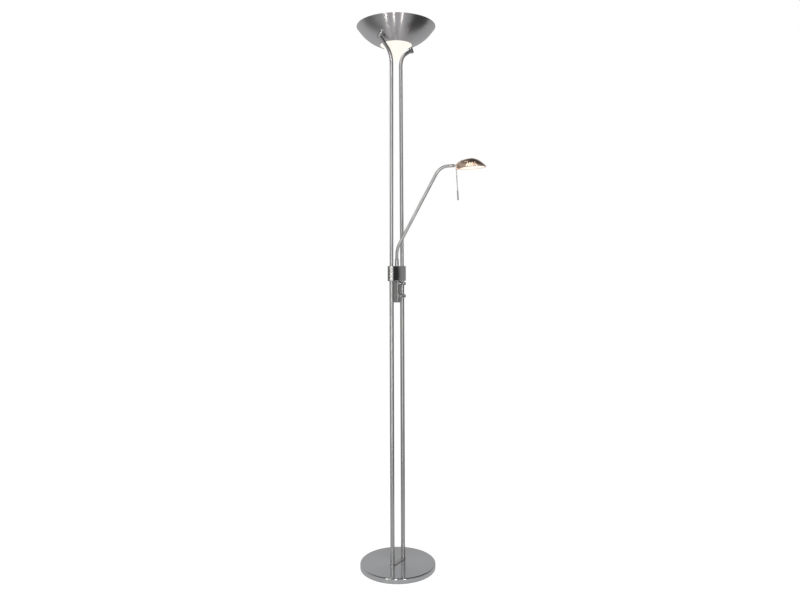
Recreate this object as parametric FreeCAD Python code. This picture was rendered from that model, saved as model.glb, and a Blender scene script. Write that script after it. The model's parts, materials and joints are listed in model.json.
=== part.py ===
import FreeCAD, Part
import math
import os

# Twin-pole torchiere floor lamp with a swivelling reading arm.
# Millimetres, +Z up. The origin is on the floor at the centre of the round base.
# The poles stand on the X axis, the dimmer knobs face -Y and the mains inlet faces +Y.

from FreeCAD import Matrix, Placement, Rotation, Vector

X = Vector(1, 0, 0)
Y = Vector(0, 1, 0)
Z = Vector(0, 0, 1)

# ---- driving dimensions -------------------------------------------------------------

# base
base_radius = 125.0
base_height = 18.0
base_edge_radius = 4.0
cover_wall = 1.0
cover_lift = 1.0              # lower edge of the cover above the floor
pad_thickness = 2.5
pad_inset = 3.0               # pad edge inside the cover wall
weight_gap = 0.4              # air between the cast weight and the cover
counterbore_radius = 14.0
counterbore_depth = 9.0
lead_slot_width = 10.0
gland_radius = 5.0
gland_bore_radius = 3.5
gland_flange = 1.6            # flange stands this much wider than the gland
gland_length = 10.0

# poles
pole_spacing = 62.0
lower_pole_radius = 7.0
lower_pole_wall = 1.0
lower_pole_length = 933.0     # visible length between the foot plate and the clamp block
upper_pole_radius = 6.0
upper_pole_wall = 0.9
neck_spacing = 54.0           # the upper poles lean in to this spacing under the bowl
neck_rise = 701.1             # clamp block top to the corner of the flare
flare_angle = 58.0            # of the flared ends, from the vertical
flare_bend_radius = 55.0
foot_plate_margin = 2.0
foot_plate_thickness = 2.0
stud_plug_length = 25.0
stud_radius = 5.0
stud_bore_radius = 3.0
nut_height = 5.0
nut_flats = 17.0
washer_thickness = 1.6
washer_radius = 12.0
socket_depth = 20.0
socket_clearance = 0.1
lead_radius = 2.2

# clamp block between the lower and upper poles
block_height = 50.0
block_wall = 6.0              # metal around the lower pole sockets
block_top_rounding = 1.0
block_bottom_rounding = 2.5
pocket_radius = 8.0           # hollow under the arm bush
channel_radius = 3.5          # wiring channels from the hollow to the pole sockets
grub_radius = 2.0

# dimmer housing under the clamp block
housing_width = 18.0
housing_depth = 20.0
housing_height = 71.0
housing_wall = 1.5
housing_edge_radius = 1.5
flange_overhang = 9.0
flange_thickness = 2.0
flange_screw_inset = 4.5
knob_drop_main = 8.0          # knob axes below the block
knob_drop_reading = 49.0
dimmer_size = 13.0
dimmer_depth = 8.0
bushing_radius = 3.0
bushing_proud = 3.0
shaft_radius = 2.0
running_clearance = 0.05
collar_radius = 7.5
collar_height = 3.5
collar_bore_radius = 5.6
panel_nut_flats = 9.0
panel_nut_height = 2.2
knob_neck_radius = 4.0
knob_neck_length = 8.0
knob_head_radius = 5.5
knob_head_length = 11.5
knob_gap = 0.4
knob_flutes = 12

# reading arm
arm_radius = 5.0
arm_wall = 1.0
arm_azimuth = 18.0            # rest direction, turned from -Y towards +X
arm_corner_rise = 57.0        # block top to the lower corner
arm_elevation = 61.0
arm_slope_length = 306.7
arm_tip_length = 43.5
arm_lower_bend = 80.0
arm_upper_bend = 48.0
arm_bush_radius = 6.5
arm_bush_proud = 20.0
arm_bush_seat = 24.0
arm_tail = 6.0                # arm tube below the bush
thrust_ring_height = 3.0
thrust_ring_radius = 6.4
retainer_radius = 7.4
retainer_height = 4.0
play = 0.2                    # axial play of turning pieces

# reading head, laid out from its tilt pin: A forward, V sideways, B up
pivot_reach = 10.0            # arm tube end to the tilt pin
head_rest_lift = 3.0          # degrees nose up at rest
knuckle_spigot_length = 12.0
knuckle_neck_radius = 4.0
knuckle_tongue = 5.0
tongue_eye_radius = 4.0
tilt_pin_radius = 2.0
ear_gap = 0.3
ear_thickness = 2.5
ear_radius = 3.5
shade_start = 8.0             # open rear end of the shade ahead of the tilt pin
shade_middle = 54.0           # where the shade is widest
shade_rear_length = 48.0      # of the oval outline behind the widest point
shade_front_length = 43.0
shade_half_width = 35.0
shade_crown = 49.0            # where the shade is tallest
shade_crown_height = 31.0
crown_rear_length = 79.0      # the crown line falls to the rim plane over these lengths
crown_front_length = 49.5
shade_wall = 1.0
shade_drop = 12.0             # rim plane below the tilt pin
shade_sections = 8
slot_count = 4
slot_pitch = 7.5
slot_width = 3.0
slot_length = 14.0
slot_slant = 32.0
slot_first = 41.0
slot_height = 8.0             # slot centre above the rim plane
lens_thickness = 2.5
lens_gap = 0.4
lens_recess = 1.2
lens_ring_width = 2.2
lens_ring_height = 1.0
seat_tube_wall = 1.5
seat_tube_end = 24.0
cap_gap = 0.3                 # between the neck's cap and the shade
shade_screw_at = 19.0
shade_screw_radius = 1.1
shade_screw_length = 5.0
cap_socket_start = 11.0
cap_socket_radius = 7.0
cap_socket_length = 16.0
capsule_radius = 6.0
capsule_length = 28.0
capsule_wall = 0.8
rod_radius = 1.5
rod_length = 100.0
rod_grip_radius = 2.6
rod_grip_length = 31.0

# bowl
bowl_rim_radius = 130.0
bowl_mouth_radius = 53.0
bowl_depth = 61.0
bowl_sag = 9.0
bowl_wall = 1.0
bowl_bead_radius = 1.5
post_contact_radius = 87.0    # where the posts meet the bowl, from the lamp's axis
post_radius = 6.5
post_length = 20.0
post_standoff = 10.0          # pole axis to the bowl along the post
nipple_radius = 4.0
nipple_bore_radius = 2.6
nipple_inside = 9.0
bowl_washer_radius = 8.0
bowl_washer_thickness = 1.5
bowl_nut_flats = 13.0
bowl_nut_height = 3.5

# bowl internals
gasket_thickness = 1.0
cone_wall = 3.0
cone_clearance = 1.0
cone_flange = 7.0
cone_depth = 53.0
cone_waist_radius = 22.0
cone_waist_drop = 25.0
cone_tip_radius = 6.0
strip_width = 16.0
strip_thickness = 1.5
strip_tab_out = 8.0
strip_tab_in = 11.0
tube_holder_length = 18.0
tube_holder_width = 16.0
tube_holder_height = 21.0
tube_axis_rise = 13.0         # lamp axis above the strip
tube_half_length = 49.0
tube_radius = 5.5
tube_wall = 0.8
tube_end_length = 7.0
tube_end_radius = 4.5
tube_pin_radius = 2.4
tube_pin_length = 3.0
filament_radius = 0.6
filament_half_length = 40.0
screen_radius = 100.0
screen_thickness = 4.0
screen_rise = 41.0            # underside of the safety glass above the bowl's mouth
clip_width = 12.0
clip_sheet = 1.2
clip_grip = 6.0
clip_count = 3

# ---- levels that follow from them ---------------------------------------------------

foot_top = base_height + foot_plate_thickness
block_bottom = foot_top + lower_pole_length
block_top = block_bottom + block_height
block_half_width = lower_pole_radius + block_wall
pole_x = pole_spacing / 2
face_y = -housing_depth / 2
arm_corner_z = block_top + arm_corner_rise
arm_slope = math.radians(arm_elevation)
elbow_x = arm_slope_length * math.cos(arm_slope)
elbow_z = arm_corner_z + arm_slope_length * math.sin(arm_slope)
arm_end_x = elbow_x + arm_tip_length
pivot_x = arm_end_x + pivot_reach


# ---- shape helpers ------------------------------------------------------------------

def cylinder(radius, length, base=Vector(), axis=Z):
    return Part.makeCylinder(radius, length, base, axis)


def ring(outer, inner, length, base=Vector(), axis=Z):
    return cylinder(outer, length, base, axis).cut(cylinder(inner, length, base, axis))


def box(x0, x1, y0, y1, z0, z1):
    return Part.makeBox(x1 - x0, y1 - y0, z1 - z0, Vector(x0, y0, z0))


def turned(shape, axis, base=Vector()):
    """Stands a shape that was built along +Z on another axis."""
    result = shape.copy()
    result.Placement = Placement(base, Rotation(Z, axis)).multiply(shape.Placement)
    return result


def hexagon(flats, height, base=Vector(), axis=Z):
    corner = flats / 2 / math.cos(math.radians(30))
    angles = [math.radians(60 * k) for k in range(7)]
    outline = [Vector(corner * math.cos(a), corner * math.sin(a), 0) for a in angles]
    return turned(Part.Face(Part.makePolygon(outline)).extrude(Z * height), axis, base)


def line(a, b):
    return Part.LineSegment(a, b).toShape()


def arc(a, mid, b):
    return Part.Arc(a, mid, b).toShape()


def stadium(spacing, radius, z0, height):
    half = spacing / 2
    edges = [
        line(Vector(-half, -radius, z0), Vector(half, -radius, z0)),
        arc(Vector(half, -radius, z0), Vector(half + radius, 0, z0), Vector(half, radius, z0)),
        line(Vector(half, radius, z0), Vector(-half, radius, z0)),
        arc(Vector(-half, radius, z0), Vector(-half - radius, 0, z0), Vector(-half, -radius, z0)),
    ]
    return Part.Face(Part.Wire(edges)).extrude(Z * height)


def at(radius, height):
    """A point of a turned profile, in the XZ plane."""
    return Vector(radius, 0, height)


def lathe(edges):
    return Part.Face(Part.Wire(edges)).revolve(Vector(), Z, 360)


def lathe_polygon(points):
    closed = [at(*p) for p in points] + [at(*points[0])]
    return Part.Face(Part.makePolygon(closed)).revolve(Vector(), Z, 360)


def rounded_path(points, radii):
    """Straight runs through the points, joined by tangent arcs of the given radii."""
    edges = []
    start = points[0]
    for corner, after, radius in zip(points[1:], points[2:], radii):
        before = (start - corner).normalize()
        onward = (after - corner).normalize()
        half = before.getAngle(onward) / 2
        reach = radius / math.tan(half)
        middle = (before + onward).normalize()
        centre = corner + middle * (radius / math.sin(half))
        first = corner + before * reach
        second = corner + onward * reach
        edges.append(line(start, first))
        edges.append(arc(first, centre - middle * radius, second))
        start = second
    edges.append(line(start, points[-1]))
    return Part.Wire(edges)


def sweep(path, radius):
    first = path.Edges[0]
    start = first.valueAt(first.FirstParameter)
    tangent = first.tangentAt(first.FirstParameter)
    outline = Part.Wire(Part.makeCircle(radius, start, tangent))
    return path.makePipeShell([outline], True, False)


def mirrored(shape):
    return shape.mirror(Vector(), X)


def screw(head_radius, head_height, shank_radius, length, base, axis):
    """Pan head on the base plane, shank running along the axis, hexagon socket in the head."""
    body = cylinder(head_radius, head_height, Vector(0, 0, -head_height))
    rim = [e for e in body.Edges if e.BoundBox.ZMax < -head_height + 0.01 and len(e.Vertexes) == 1]
    body = body.makeFillet(head_height * 0.45, rim)
    body = body.fuse(cylinder(shank_radius, length))
    body = body.cut(hexagon(shank_radius * 1.1, head_height * 0.6, Vector(0, 0, -head_height)))
    return turned(body, axis, base)


def grub(radius, length, base, axis):
    """Headless screw with its hexagon socket at the base end."""
    body = cylinder(radius, length).cut(hexagon(radius, length * 0.4))
    return turned(body, axis, base)


def edges_at(shape, z):
    return [e for e in shape.Edges if abs(e.BoundBox.ZMin - z) < 1e-6 and abs(e.BoundBox.ZMax - z) < 1e-6]


# ---- base ---------------------------------------------------------------------------

def base_cover():
    r = base_radius
    e = base_edge_radius
    w = cover_wall
    top = base_height
    corner = (1 - math.sqrt(0.5)) * e
    inner_corner = w + (1 - math.sqrt(0.5)) * (e - w)
    edges = [
        line(at(0, top - w), at(0, top)),
        line(at(0, top), at(r - e, top)),
        arc(at(r - e, top), at(r - corner, top - corner), at(r, top - e)),
        line(at(r, top - e), at(r, cover_lift)),
        line(at(r, cover_lift), at(r - w, cover_lift)),
        line(at(r - w, cover_lift), at(r - w, top - e)),
        arc(at(r - w, top - e), at(r - inner_corner, top - inner_corner), at(r - e, top - w)),
        line(at(r - e, top - w), at(0, top - w)),
    ]
    shell = lathe(edges)
    for x in (-pole_x, pole_x):
        shell = shell.cut(cylinder(stud_radius + socket_clearance, base_height, Vector(x, 0, 0)))
    return shell.cut(cylinder(gland_radius, gland_length * 2, gland_base(), Y))


def gland_level():
    return pad_thickness + gland_radius + 1.1


def gland_base():
    return Vector(0, base_radius - gland_length, gland_level())


def base_weight():
    top = base_height - cover_wall - weight_gap
    radius = base_radius - cover_wall - weight_gap
    chamfer = base_edge_radius
    body = lathe_polygon([
        (0, pad_thickness), (radius, pad_thickness), (radius, top - chamfer),
        (radius - chamfer, top), (0, top),
    ])
    for x in (-pole_x, pole_x):
        seat = Vector(x, 0, pad_thickness)
        body = body.cut(cylinder(counterbore_radius, counterbore_depth, seat))
        body = body.cut(cylinder(stud_radius + socket_clearance, base_height, seat))
    half = lead_slot_width / 2
    slot_top = gland_level() + gland_bore_radius + 0.4
    body = body.cut(box(0, pole_x, -half, half, pad_thickness, slot_top))
    body = body.cut(box(-half, half, -half, base_radius, pad_thickness, slot_top))
    room = gland_radius + gland_flange + socket_clearance
    gland_room = cylinder(room, gland_length * 2, gland_base() - Y * 2, Y)
    return body.cut(gland_room)


def base_pad():
    return cylinder(base_radius - cover_wall - pad_inset, pad_thickness)


def cable_gland():
    outside = Vector(0, base_radius, gland_level())
    body = cylinder(gland_radius, gland_length, gland_base(), Y)
    flange = cylinder(gland_radius + gland_flange, gland_flange, outside, Y)
    groove_back = Vector(0, base_radius - cover_wall - gland_flange - 0.2, gland_level())
    inner_flange = cylinder(gland_radius + gland_flange * 0.5, gland_flange, groove_back, Y)
    curved_face = cylinder(base_radius + 0.01, base_height)
    outer = flange.cut(curved_face).fuse(body).fuse(inner_flange)
    return outer.cut(cylinder(gland_bore_radius, gland_length * 2, gland_base() - Y, Y))


def foot_plate():
    plate = stadium(pole_spacing, lower_pole_radius + foot_plate_margin, base_height, foot_plate_thickness)
    rim = edges_at(plate, foot_top)
    plate = plate.makeChamfer(foot_plate_thickness * 0.4, rim)
    for x in (-pole_x, pole_x):
        plate = plate.cut(cylinder(stud_radius + socket_clearance, foot_top, Vector(x, 0, 0)))
    return plate


def foot_stud(x):
    bottom = pad_thickness + counterbore_depth - washer_thickness - nut_height - 1.5
    bore = lower_pole_radius - lower_pole_wall
    body = cylinder(bore, stud_plug_length, Vector(x, 0, foot_top))
    body = body.fuse(cylinder(stud_radius, foot_top - bottom, Vector(x, 0, bottom)))
    return body.cut(cylinder(stud_bore_radius, foot_top + stud_plug_length, Vector(x, 0, bottom)))


def foot_washer(x):
    base = Vector(x, 0, pad_thickness + counterbore_depth - washer_thickness)
    return ring(washer_radius, stud_radius + socket_clearance, washer_thickness, base)


def foot_nut(x):
    base = Vector(x, 0, pad_thickness + counterbore_depth - washer_thickness - nut_height)
    return hexagon(nut_flats, nut_height, base).cut(cylinder(stud_radius, nut_height, base))


# ---- poles --------------------------------------------------------------------------

def lower_pole(x):
    length = lower_pole_length + socket_depth
    return ring(lower_pole_radius, lower_pole_radius - lower_pole_wall, length, Vector(x, 0, foot_top))


def upper_pole_path():
    """Centreline of the +X upper pole, from the foot of its socket to the bowl post."""
    return [
        at(pole_x, block_top - socket_depth),
        at(neck_spacing / 2, block_top + neck_rise),
        pole_end(),
    ]


def pole_end():
    """Where the +X pole's centreline meets the axis of its bowl post."""
    reach = bowl_point(post_angle(), -post_standoff).x
    corner_z = block_top + neck_rise
    rise = (reach - neck_spacing / 2) / math.tan(math.radians(flare_angle))
    return at(reach, corner_z + rise)


def upper_pole():
    path = rounded_path(upper_pole_path(), [flare_bend_radius])
    solid = sweep(path, upper_pole_radius)
    bore = sweep(path, upper_pole_radius - upper_pole_wall)
    return solid.cut(bore).cut(post_envelope())


def lower_lead(x):
    start = pad_thickness + counterbore_depth - washer_thickness - nut_height
    return cylinder(lead_radius, block_bottom + socket_depth - start, Vector(x, 0, start))


def upper_lead():
    points = upper_pole_path()
    last = points[2] + (points[1] - points[2]).normalize() * (post_radius + 2)
    return sweep(rounded_path([points[0], points[1], last], [flare_bend_radius]), lead_radius)


# ---- clamp block --------------------------------------------------------------------

def clamp_block():
    body = stadium(pole_spacing, block_half_width, block_bottom, block_height)
    body = body.makeFillet(block_top_rounding, edges_at(body, block_top))
    body = body.makeFillet(block_bottom_rounding, edges_at(body, block_bottom))
    path = upper_pole_path()
    lean = (path[1] - path[0]).normalize()
    for side in (-1, 1):
        lower = Vector(side * pole_x, 0, block_bottom)
        body = body.cut(cylinder(lower_pole_radius + socket_clearance, socket_depth, lower))
        body = body.cut(cylinder(channel_radius + 0.5, block_height, lower))
        upper = Vector(side * path[0].x, 0, path[0].z)
        direction = Vector(side * lean.x, 0, lean.z)
        body = body.cut(cylinder(upper_pole_radius + socket_clearance, block_height, upper, direction))
    seat = Vector(0, 0, block_top - arm_bush_seat)
    body = body.cut(cylinder(arm_bush_radius, block_height, seat))
    body = body.cut(cylinder(pocket_radius, block_height - arm_bush_seat, Vector(0, 0, block_bottom)))
    web_middle = block_bottom + block_height / 2
    body = body.cut(cylinder(channel_radius, pole_spacing, Vector(-pole_x, 0, web_middle), X))
    for place in grub_places():
        body = body.cut(cylinder(grub_radius, block_half_width * 2, place, Y))
    for x in flange_screw_places():
        hole = Vector(x, 0, block_bottom)
        body = body.cut(cylinder(1.5, 9.0, hole))
    return body


def grub_places():
    """Pole axis points of the grub screws, lower pair first."""
    low = block_bottom + socket_depth / 2
    high = block_top - socket_depth / 2
    return [Vector(x, 0, z) for z in (low, high) for x in (-pole_x, pole_x)]


def pole_grubs():
    parts = []
    reach = block_half_width - 0.4
    for place in grub_places():
        radius = lower_pole_radius if place.z < block_bottom + block_height / 2 else upper_pole_radius
        length = reach - radius - socket_clearance
        parts.append(grub(grub_radius, length, place + Y * reach, -Y))
    return Part.makeCompound(parts)


# ---- dimmer housing -----------------------------------------------------------------

def flange_half():
    return housing_width / 2 + flange_overhang


def flange_screw_places():
    x = flange_half() - flange_screw_inset
    return (-x, x)


def inner_half_width():
    return housing_width / 2 - housing_wall


def boss_levels():
    floor = block_bottom - housing_height + housing_wall
    return (floor + 3.0, block_bottom - flange_thickness - 3.0)


def back_inner_y():
    return housing_depth / 2 - housing_wall


def housing_shell():
    half = housing_width / 2
    low = block_bottom - housing_height
    body = box(-half, half, face_y, -face_y, low, block_bottom)
    upright = [e for e in body.Edges if e.BoundBox.ZLength > housing_height - 1]
    body = body.makeFillet(housing_edge_radius, upright)
    body = body.makeChamfer(0.8, edges_at(body, low))
    inner = inner_half_width()
    cavity = box(-inner, inner, face_y + housing_wall, housing_depth, low + housing_wall, block_bottom)
    body = body.cut(cavity)
    reach = flange_half()
    flange_y = -face_y - housing_edge_radius
    for side in (-1, 1):
        x0, x1 = sorted((side * (half - 0.5), side * reach))
        ear = box(x0, x1, -flange_y, flange_y, block_bottom - flange_thickness, block_bottom)
        body = body.fuse(ear)
    for x in flange_screw_places():
        body = body.cut(cylinder(1.6, housing_height, Vector(x, 0, block_bottom - flange_thickness)))
    for z in boss_levels():
        boss = box(-inner, inner, back_inner_y() - 4.5, back_inner_y(), z - 3, z + 3)
        body = body.fuse(boss)
        body = body.cut(cylinder(1.25, 4.5, Vector(0, back_inner_y() - 4.5, z), Y))
    for z in knob_levels():
        hole = Vector(0, face_y + housing_wall, z)
        body = body.cut(cylinder(bushing_radius + socket_clearance, housing_wall * 2, hole, -Y))
    return body.removeSplitter()


def knob_levels():
    return (block_bottom - knob_drop_main, block_bottom - knob_drop_reading)


def housing_back():
    inner = inner_half_width() - socket_clearance
    low = block_bottom - housing_height + housing_wall + socket_clearance
    plate = box(-inner, inner, back_inner_y(), housing_depth / 2, low, block_bottom - socket_clearance)
    for z in boss_levels():
        plate = plate.cut(cylinder(1.4, housing_depth, Vector(0, 0, z), Y))
    return plate


def housing_screws():
    y = housing_depth / 2
    z = block_bottom - flange_thickness
    back = [screw(2.4, 1.4, 1.25, housing_wall + 4.0, Vector(0, y, b), -Y) for b in boss_levels()]
    top = [screw(2.8, 2.0, 1.5, 9.0, Vector(x, 0, z), Z) for x in flange_screw_places()]
    return Part.makeCompound(back + top)


def dimmer_body(z):
    back = face_y + housing_wall
    half = dimmer_size / 2
    body = box(-half, half, back, back + dimmer_depth, z - half, z + half)
    front = face_y - bushing_proud
    body = body.fuse(cylinder(bushing_radius, back - front, Vector(0, front, z), Y))
    bore_length = back - front + dimmer_depth * 0.7
    return body.cut(cylinder(shaft_radius + running_clearance, bore_length, Vector(0, front, z), Y))


def panel_nut(z):
    nut = hexagon(panel_nut_flats, panel_nut_height, Vector(0, face_y, z), -Y)
    return nut.cut(cylinder(bushing_radius, panel_nut_height, Vector(0, face_y, z), -Y))


def knob_collar(z):
    body = cylinder(collar_radius, collar_height)
    body = body.makeFillet(1.2, edges_at(body, collar_height))
    body = body.cut(cylinder(collar_bore_radius, collar_height))
    return turned(body, -Y, Vector(0, face_y, z))


def knob_start():
    """Distance from the housing face to the foot of a knob."""
    return collar_height + knob_gap


def dimmer_shaft(z):
    back = face_y + housing_wall + dimmer_depth * 0.6
    tip = face_y - knob_start() - knob_neck_length - knob_head_length * 0.5
    return cylinder(shaft_radius, back - tip, Vector(0, tip, z), Y)


def knob(z):
    """Turned knob: a slim neck, a fluted head with a domed end and a pointer groove."""
    head_base = knob_neck_length
    end = knob_neck_length + knob_head_length
    foot = at(knob_neck_radius + 0.8, 0)
    waist = at(knob_neck_radius - 0.9, head_base * 0.5)
    edges = [
        line(at(0, 0), foot),
        arc(foot, waist, at(knob_neck_radius, head_base)),
        line(at(knob_neck_radius, head_base), at(knob_head_radius, head_base + 1.2)),
        line(at(knob_head_radius, head_base + 1.2), at(knob_head_radius, end - 2.0)),
        arc(at(knob_head_radius, end - 2.0), at(knob_head_radius - 0.6, end - 0.6), at(knob_head_radius - 2.0, end)),
        line(at(knob_head_radius - 2.0, end), at(0, end)),
        line(at(0, end), at(0, 0)),
    ]
    body = lathe(edges)
    for k in range(knob_flutes):
        angle = math.radians(360 / knob_flutes * (k + 0.5))
        spot = Vector(math.cos(angle), math.sin(angle), 0) * (knob_head_radius + 0.25)
        body = body.cut(cylinder(0.65, knob_head_length - 4.0, spot + Z * (head_base + 2.2)))
    pointer = box(-0.35, 0.35, 1.0, knob_head_radius - 2.2, end - 1.0, end + 1)
    body = body.cut(pointer)
    body = body.cut(cylinder(shaft_radius, knob_neck_length + knob_head_length * 0.5))
    return turned(body, -Y, Vector(0, face_y - knob_start(), z))


def dimmer_board():
    half = inner_half_width() - 0.8
    y = face_y + housing_wall + dimmer_depth + 0.4
    z0 = block_bottom - housing_height + housing_wall + 8.0
    z1 = block_bottom - flange_thickness - 8.0
    board = box(-half, half, y, y + 1.6, z0, z1)
    choke = cylinder(3.0, 2.6, Vector(0, y + 1.6, (z0 + z1) / 2), Y)
    triac = box(-2.5, 2.5, y + 1.6, y + 3.4, z0 + 6, z0 + 14)
    return board.fuse(choke).fuse(triac)


# ---- reading arm --------------------------------------------------------------------

def arm_placed(shape):
    """Turns a piece built with its arm along +X to the rest direction."""
    result = shape.copy()
    result.rotate(Vector(), Z, arm_azimuth - 90)
    return result


def arm_path():
    tail = block_top - arm_bush_seat - arm_tail
    return [at(0, tail), at(0, arm_corner_z), at(elbow_x, elbow_z), at(arm_end_x, elbow_z)]


def arm_tube():
    path = rounded_path(arm_path(), [arm_lower_bend, arm_upper_bend])
    return arm_placed(sweep(path, arm_radius).cut(sweep(path, arm_radius - arm_wall)))


def arm_lead():
    points = arm_path()
    last = points[3] - X * (knuckle_spigot_length + 2)
    path = rounded_path([points[0], points[1], points[2], last], [arm_lower_bend, arm_upper_bend])
    return arm_placed(sweep(path, lead_radius))


def arm_bush():
    seat = Vector(0, 0, block_top - arm_bush_seat)
    length = arm_bush_seat + arm_bush_proud
    body = cylinder(arm_bush_radius, length, seat)
    body = body.makeChamfer(0.5, edges_at(body, seat.z + length))
    return body.cut(cylinder(arm_radius + running_clearance, length, seat))


def arm_thrust_ring():
    seat = Vector(0, 0, block_top + arm_bush_proud + play)
    body = cylinder(thrust_ring_radius, thrust_ring_height, seat)
    body = body.makeFillet(0.8, edges_at(body, seat.z + thrust_ring_height))
    return body.cut(cylinder(arm_radius, thrust_ring_height, seat))


def arm_retainer():
    seat = Vector(0, 0, block_top - arm_bush_seat - play - retainer_height)
    body = ring(retainer_radius, arm_radius, retainer_height, seat)
    return arm_placed(body)


# ---- reading head -------------------------------------------------------------------

def head_placed(shape):
    """From the head's own frame, with the tilt pin at the origin, to the lamp."""
    result = shape.copy()
    result.rotate(Vector(), Y, -head_rest_lift)
    result.translate(Vector(pivot_x, 0, elbow_z))
    return arm_placed(result)


def knuckle():
    base = Vector(-pivot_reach, 0, 0)
    body = cylinder(arm_radius - arm_wall - running_clearance, knuckle_spigot_length, base, -X)
    neck = Vector(-pivot_reach + play, 0, 0)
    neck_length = pivot_reach - tongue_eye_radius - play
    body = body.fuse(cylinder(arm_radius, 2.0, neck, X))
    body = body.fuse(cylinder(knuckle_neck_radius, neck_length, neck, X))
    body = body.fuse(cylinder(arm_radius - arm_wall - running_clearance, play, base, X))
    half = knuckle_tongue / 2
    tongue = box(-tongue_eye_radius - 1, 0, -half, half, -knuckle_neck_radius + 1, knuckle_neck_radius - 1)
    eye = cylinder(tongue_eye_radius - 0.4, knuckle_tongue, Vector(0, -half, 0), Y)
    body = body.fuse(tongue).fuse(eye)
    hole = cylinder(tilt_pin_radius + running_clearance, knuckle_tongue * 2, Vector(0, -knuckle_tongue, 0), Y)
    body = body.cut(hole).removeSplitter()
    body.translate(Vector(pivot_x, 0, elbow_z))
    return arm_placed(body)


def ear_outer():
    return knuckle_tongue / 2 + ear_gap + ear_thickness


def tilt_pin():
    half = ear_outer()
    body = cylinder(tilt_pin_radius, half * 2, Vector(0, -half, 0), Y)
    head = cylinder(3.0, 1.6)
    head = head.makeFillet(0.7, edges_at(head, 1.6))
    body = body.fuse(turned(head, -Y, Vector(0, -half, 0)))
    nut = hexagon(5.5, 1.8, Vector(0, half, 0), Y)
    return head_placed(body.fuse(nut))


def shade_half_width_at(a):
    length = shade_rear_length if a < shade_middle else shade_front_length
    return shade_half_width * math.sqrt(1 - ((a - shade_middle) / length) ** 2)


def shade_height_at(a):
    length = crown_rear_length if a < shade_crown else crown_front_length
    return shade_crown_height * (1 - ((a - shade_crown) / length) ** 2)


def arch(a, half_width, height, floor):
    """Half an ellipse closed by its base line, across the head at distance a."""
    scale = Matrix()
    scale.scale(1, half_width, height)
    half = arc(Vector(0, 1, 0), Vector(0, 0, 1), Vector(0, -1, 0)).transformGeometry(scale)
    foot = line(Vector(0, -half_width, 0), Vector(0, half_width, 0))
    wire = Part.Wire([half.Edges[0], foot])
    wire.translate(Vector(a, 0, floor))
    return wire


def shade_form(inset):
    """The shade's solid form, drawn in by an inset on every side but the rim plane."""
    start = shade_start
    end = shade_middle + shade_front_length - 1.0
    wires = []
    for k in range(shade_sections + 1):
        share = math.sin(math.pi / 2 * k / shade_sections)
        a = start + (end - start) * share
        along = inset * share ** 4
        across = inset - along
        width = shade_half_width_at(a) - across
        wires.append(arch(a - along, width, shade_height_at(a) - across, -shade_drop))
    return Part.makeLoft(wires, True, False)


def rim_slab(low, high):
    """Slab between two heights above the rim plane."""
    return box(shade_start, 200, -60, 60, low - shade_drop, high - shade_drop)


def head_neck():
    """Cast neck of the head: it closes the shade's rear end and carries ears, lug and socket."""
    front = shade_start - cap_gap
    slot_end = tongue_eye_radius + 0.6
    ear_top = ear_radius + 2.0
    outer = ear_outer()
    rear_arch = arch(slot_end - 2.0, outer, ear_top + 6.0, -6.0)
    width = shade_half_width_at(shade_start)
    front_arch = arch(front, width - 0.2, shade_height_at(shade_start) - 0.2, -shade_drop)
    body = Part.makeLoft([rear_arch, front_arch], True, True)
    tube_length = seat_tube_end - shade_start
    tube = cylinder(cap_socket_radius + seat_tube_wall, tube_length, Vector(shade_start, 0, 0), X)
    boss_length = shade_height_at(shade_screw_at) - shade_drop - cap_socket_radius
    boss = on_crown(cylinder(3.0, boss_length + shade_wall, Vector(), -Z))
    body = body.fuse(tube.fuse(boss).common(shade_form(shade_wall + cap_gap)))
    body = body.fuse(cylinder(cap_socket_radius - 2.0, 2.0, Vector(front - 0.5, 0, 0), X))
    body = body.cut(on_crown(cylinder(shade_screw_radius, shade_screw_length + 1, Vector(), -Z)))
    bore = Vector(cap_socket_start, 0, 0)
    body = body.cut(cylinder(cap_socket_radius + socket_clearance, seat_tube_end, bore, X))
    body = body.fuse(box(-2.4, front, -outer, outer, -shade_drop - 1.0, -9.8))
    inner = knuckle_tongue / 2 + ear_gap
    outline = [(-1.5, -3.0), (-1.5, -10.5), (5.0, -10.5), (5.0, ear_top), (2.0, ear_top), (0, ear_radius)]
    points = [Vector(a, 0, b) for a, b in outline]
    plate = Part.Face(Part.makePolygon(points + [points[0]])).extrude(Y * ear_thickness)
    plate = plate.fuse(cylinder(ear_radius, ear_thickness, Vector(), Y))
    for y in (inner, -inner - ear_thickness):
        ear = plate.copy()
        ear.translate(Vector(0, y, 0))
        body = body.fuse(ear)
    body = body.cut(box(-6, slot_end, -inner, inner, -8.5, 12))
    body = body.cut(cylinder(tilt_pin_radius, outer * 4, Vector(0, -outer * 2, 0), Y))
    body = body.cut(cylinder(rod_radius, 2.4, Vector(0, 0, -shade_drop - 1.0), Z))
    return head_placed(body.removeSplitter())


def slot_cutter(a):
    width = shade_half_width * 4
    half = slot_length / 2 - slot_width / 2
    body = box(-slot_width / 2, slot_width / 2, -width / 2, width / 2, -half, half)
    for b in (-half, half):
        body = body.fuse(cylinder(slot_width / 2, width, Vector(0, -width / 2, b), Y))
    body.rotate(Vector(), Y, slot_slant)
    body.translate(Vector(a, 0, slot_height - shade_drop))
    return body


def reading_shade():
    shell = shade_form(0).cut(shade_form(shade_wall))
    middle = box(shade_start, 200, -5, 5, -50, 50)
    for k in range(slot_count):
        shell = shell.cut(slot_cutter(slot_first + k * slot_pitch).cut(middle))
    shell = shell.cut(on_crown(cylinder(shade_screw_radius + 0.2, 10, Vector(0, 0, -5))))
    return head_placed(max(shell.Solids, key=lambda piece: piece.Volume))


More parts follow.
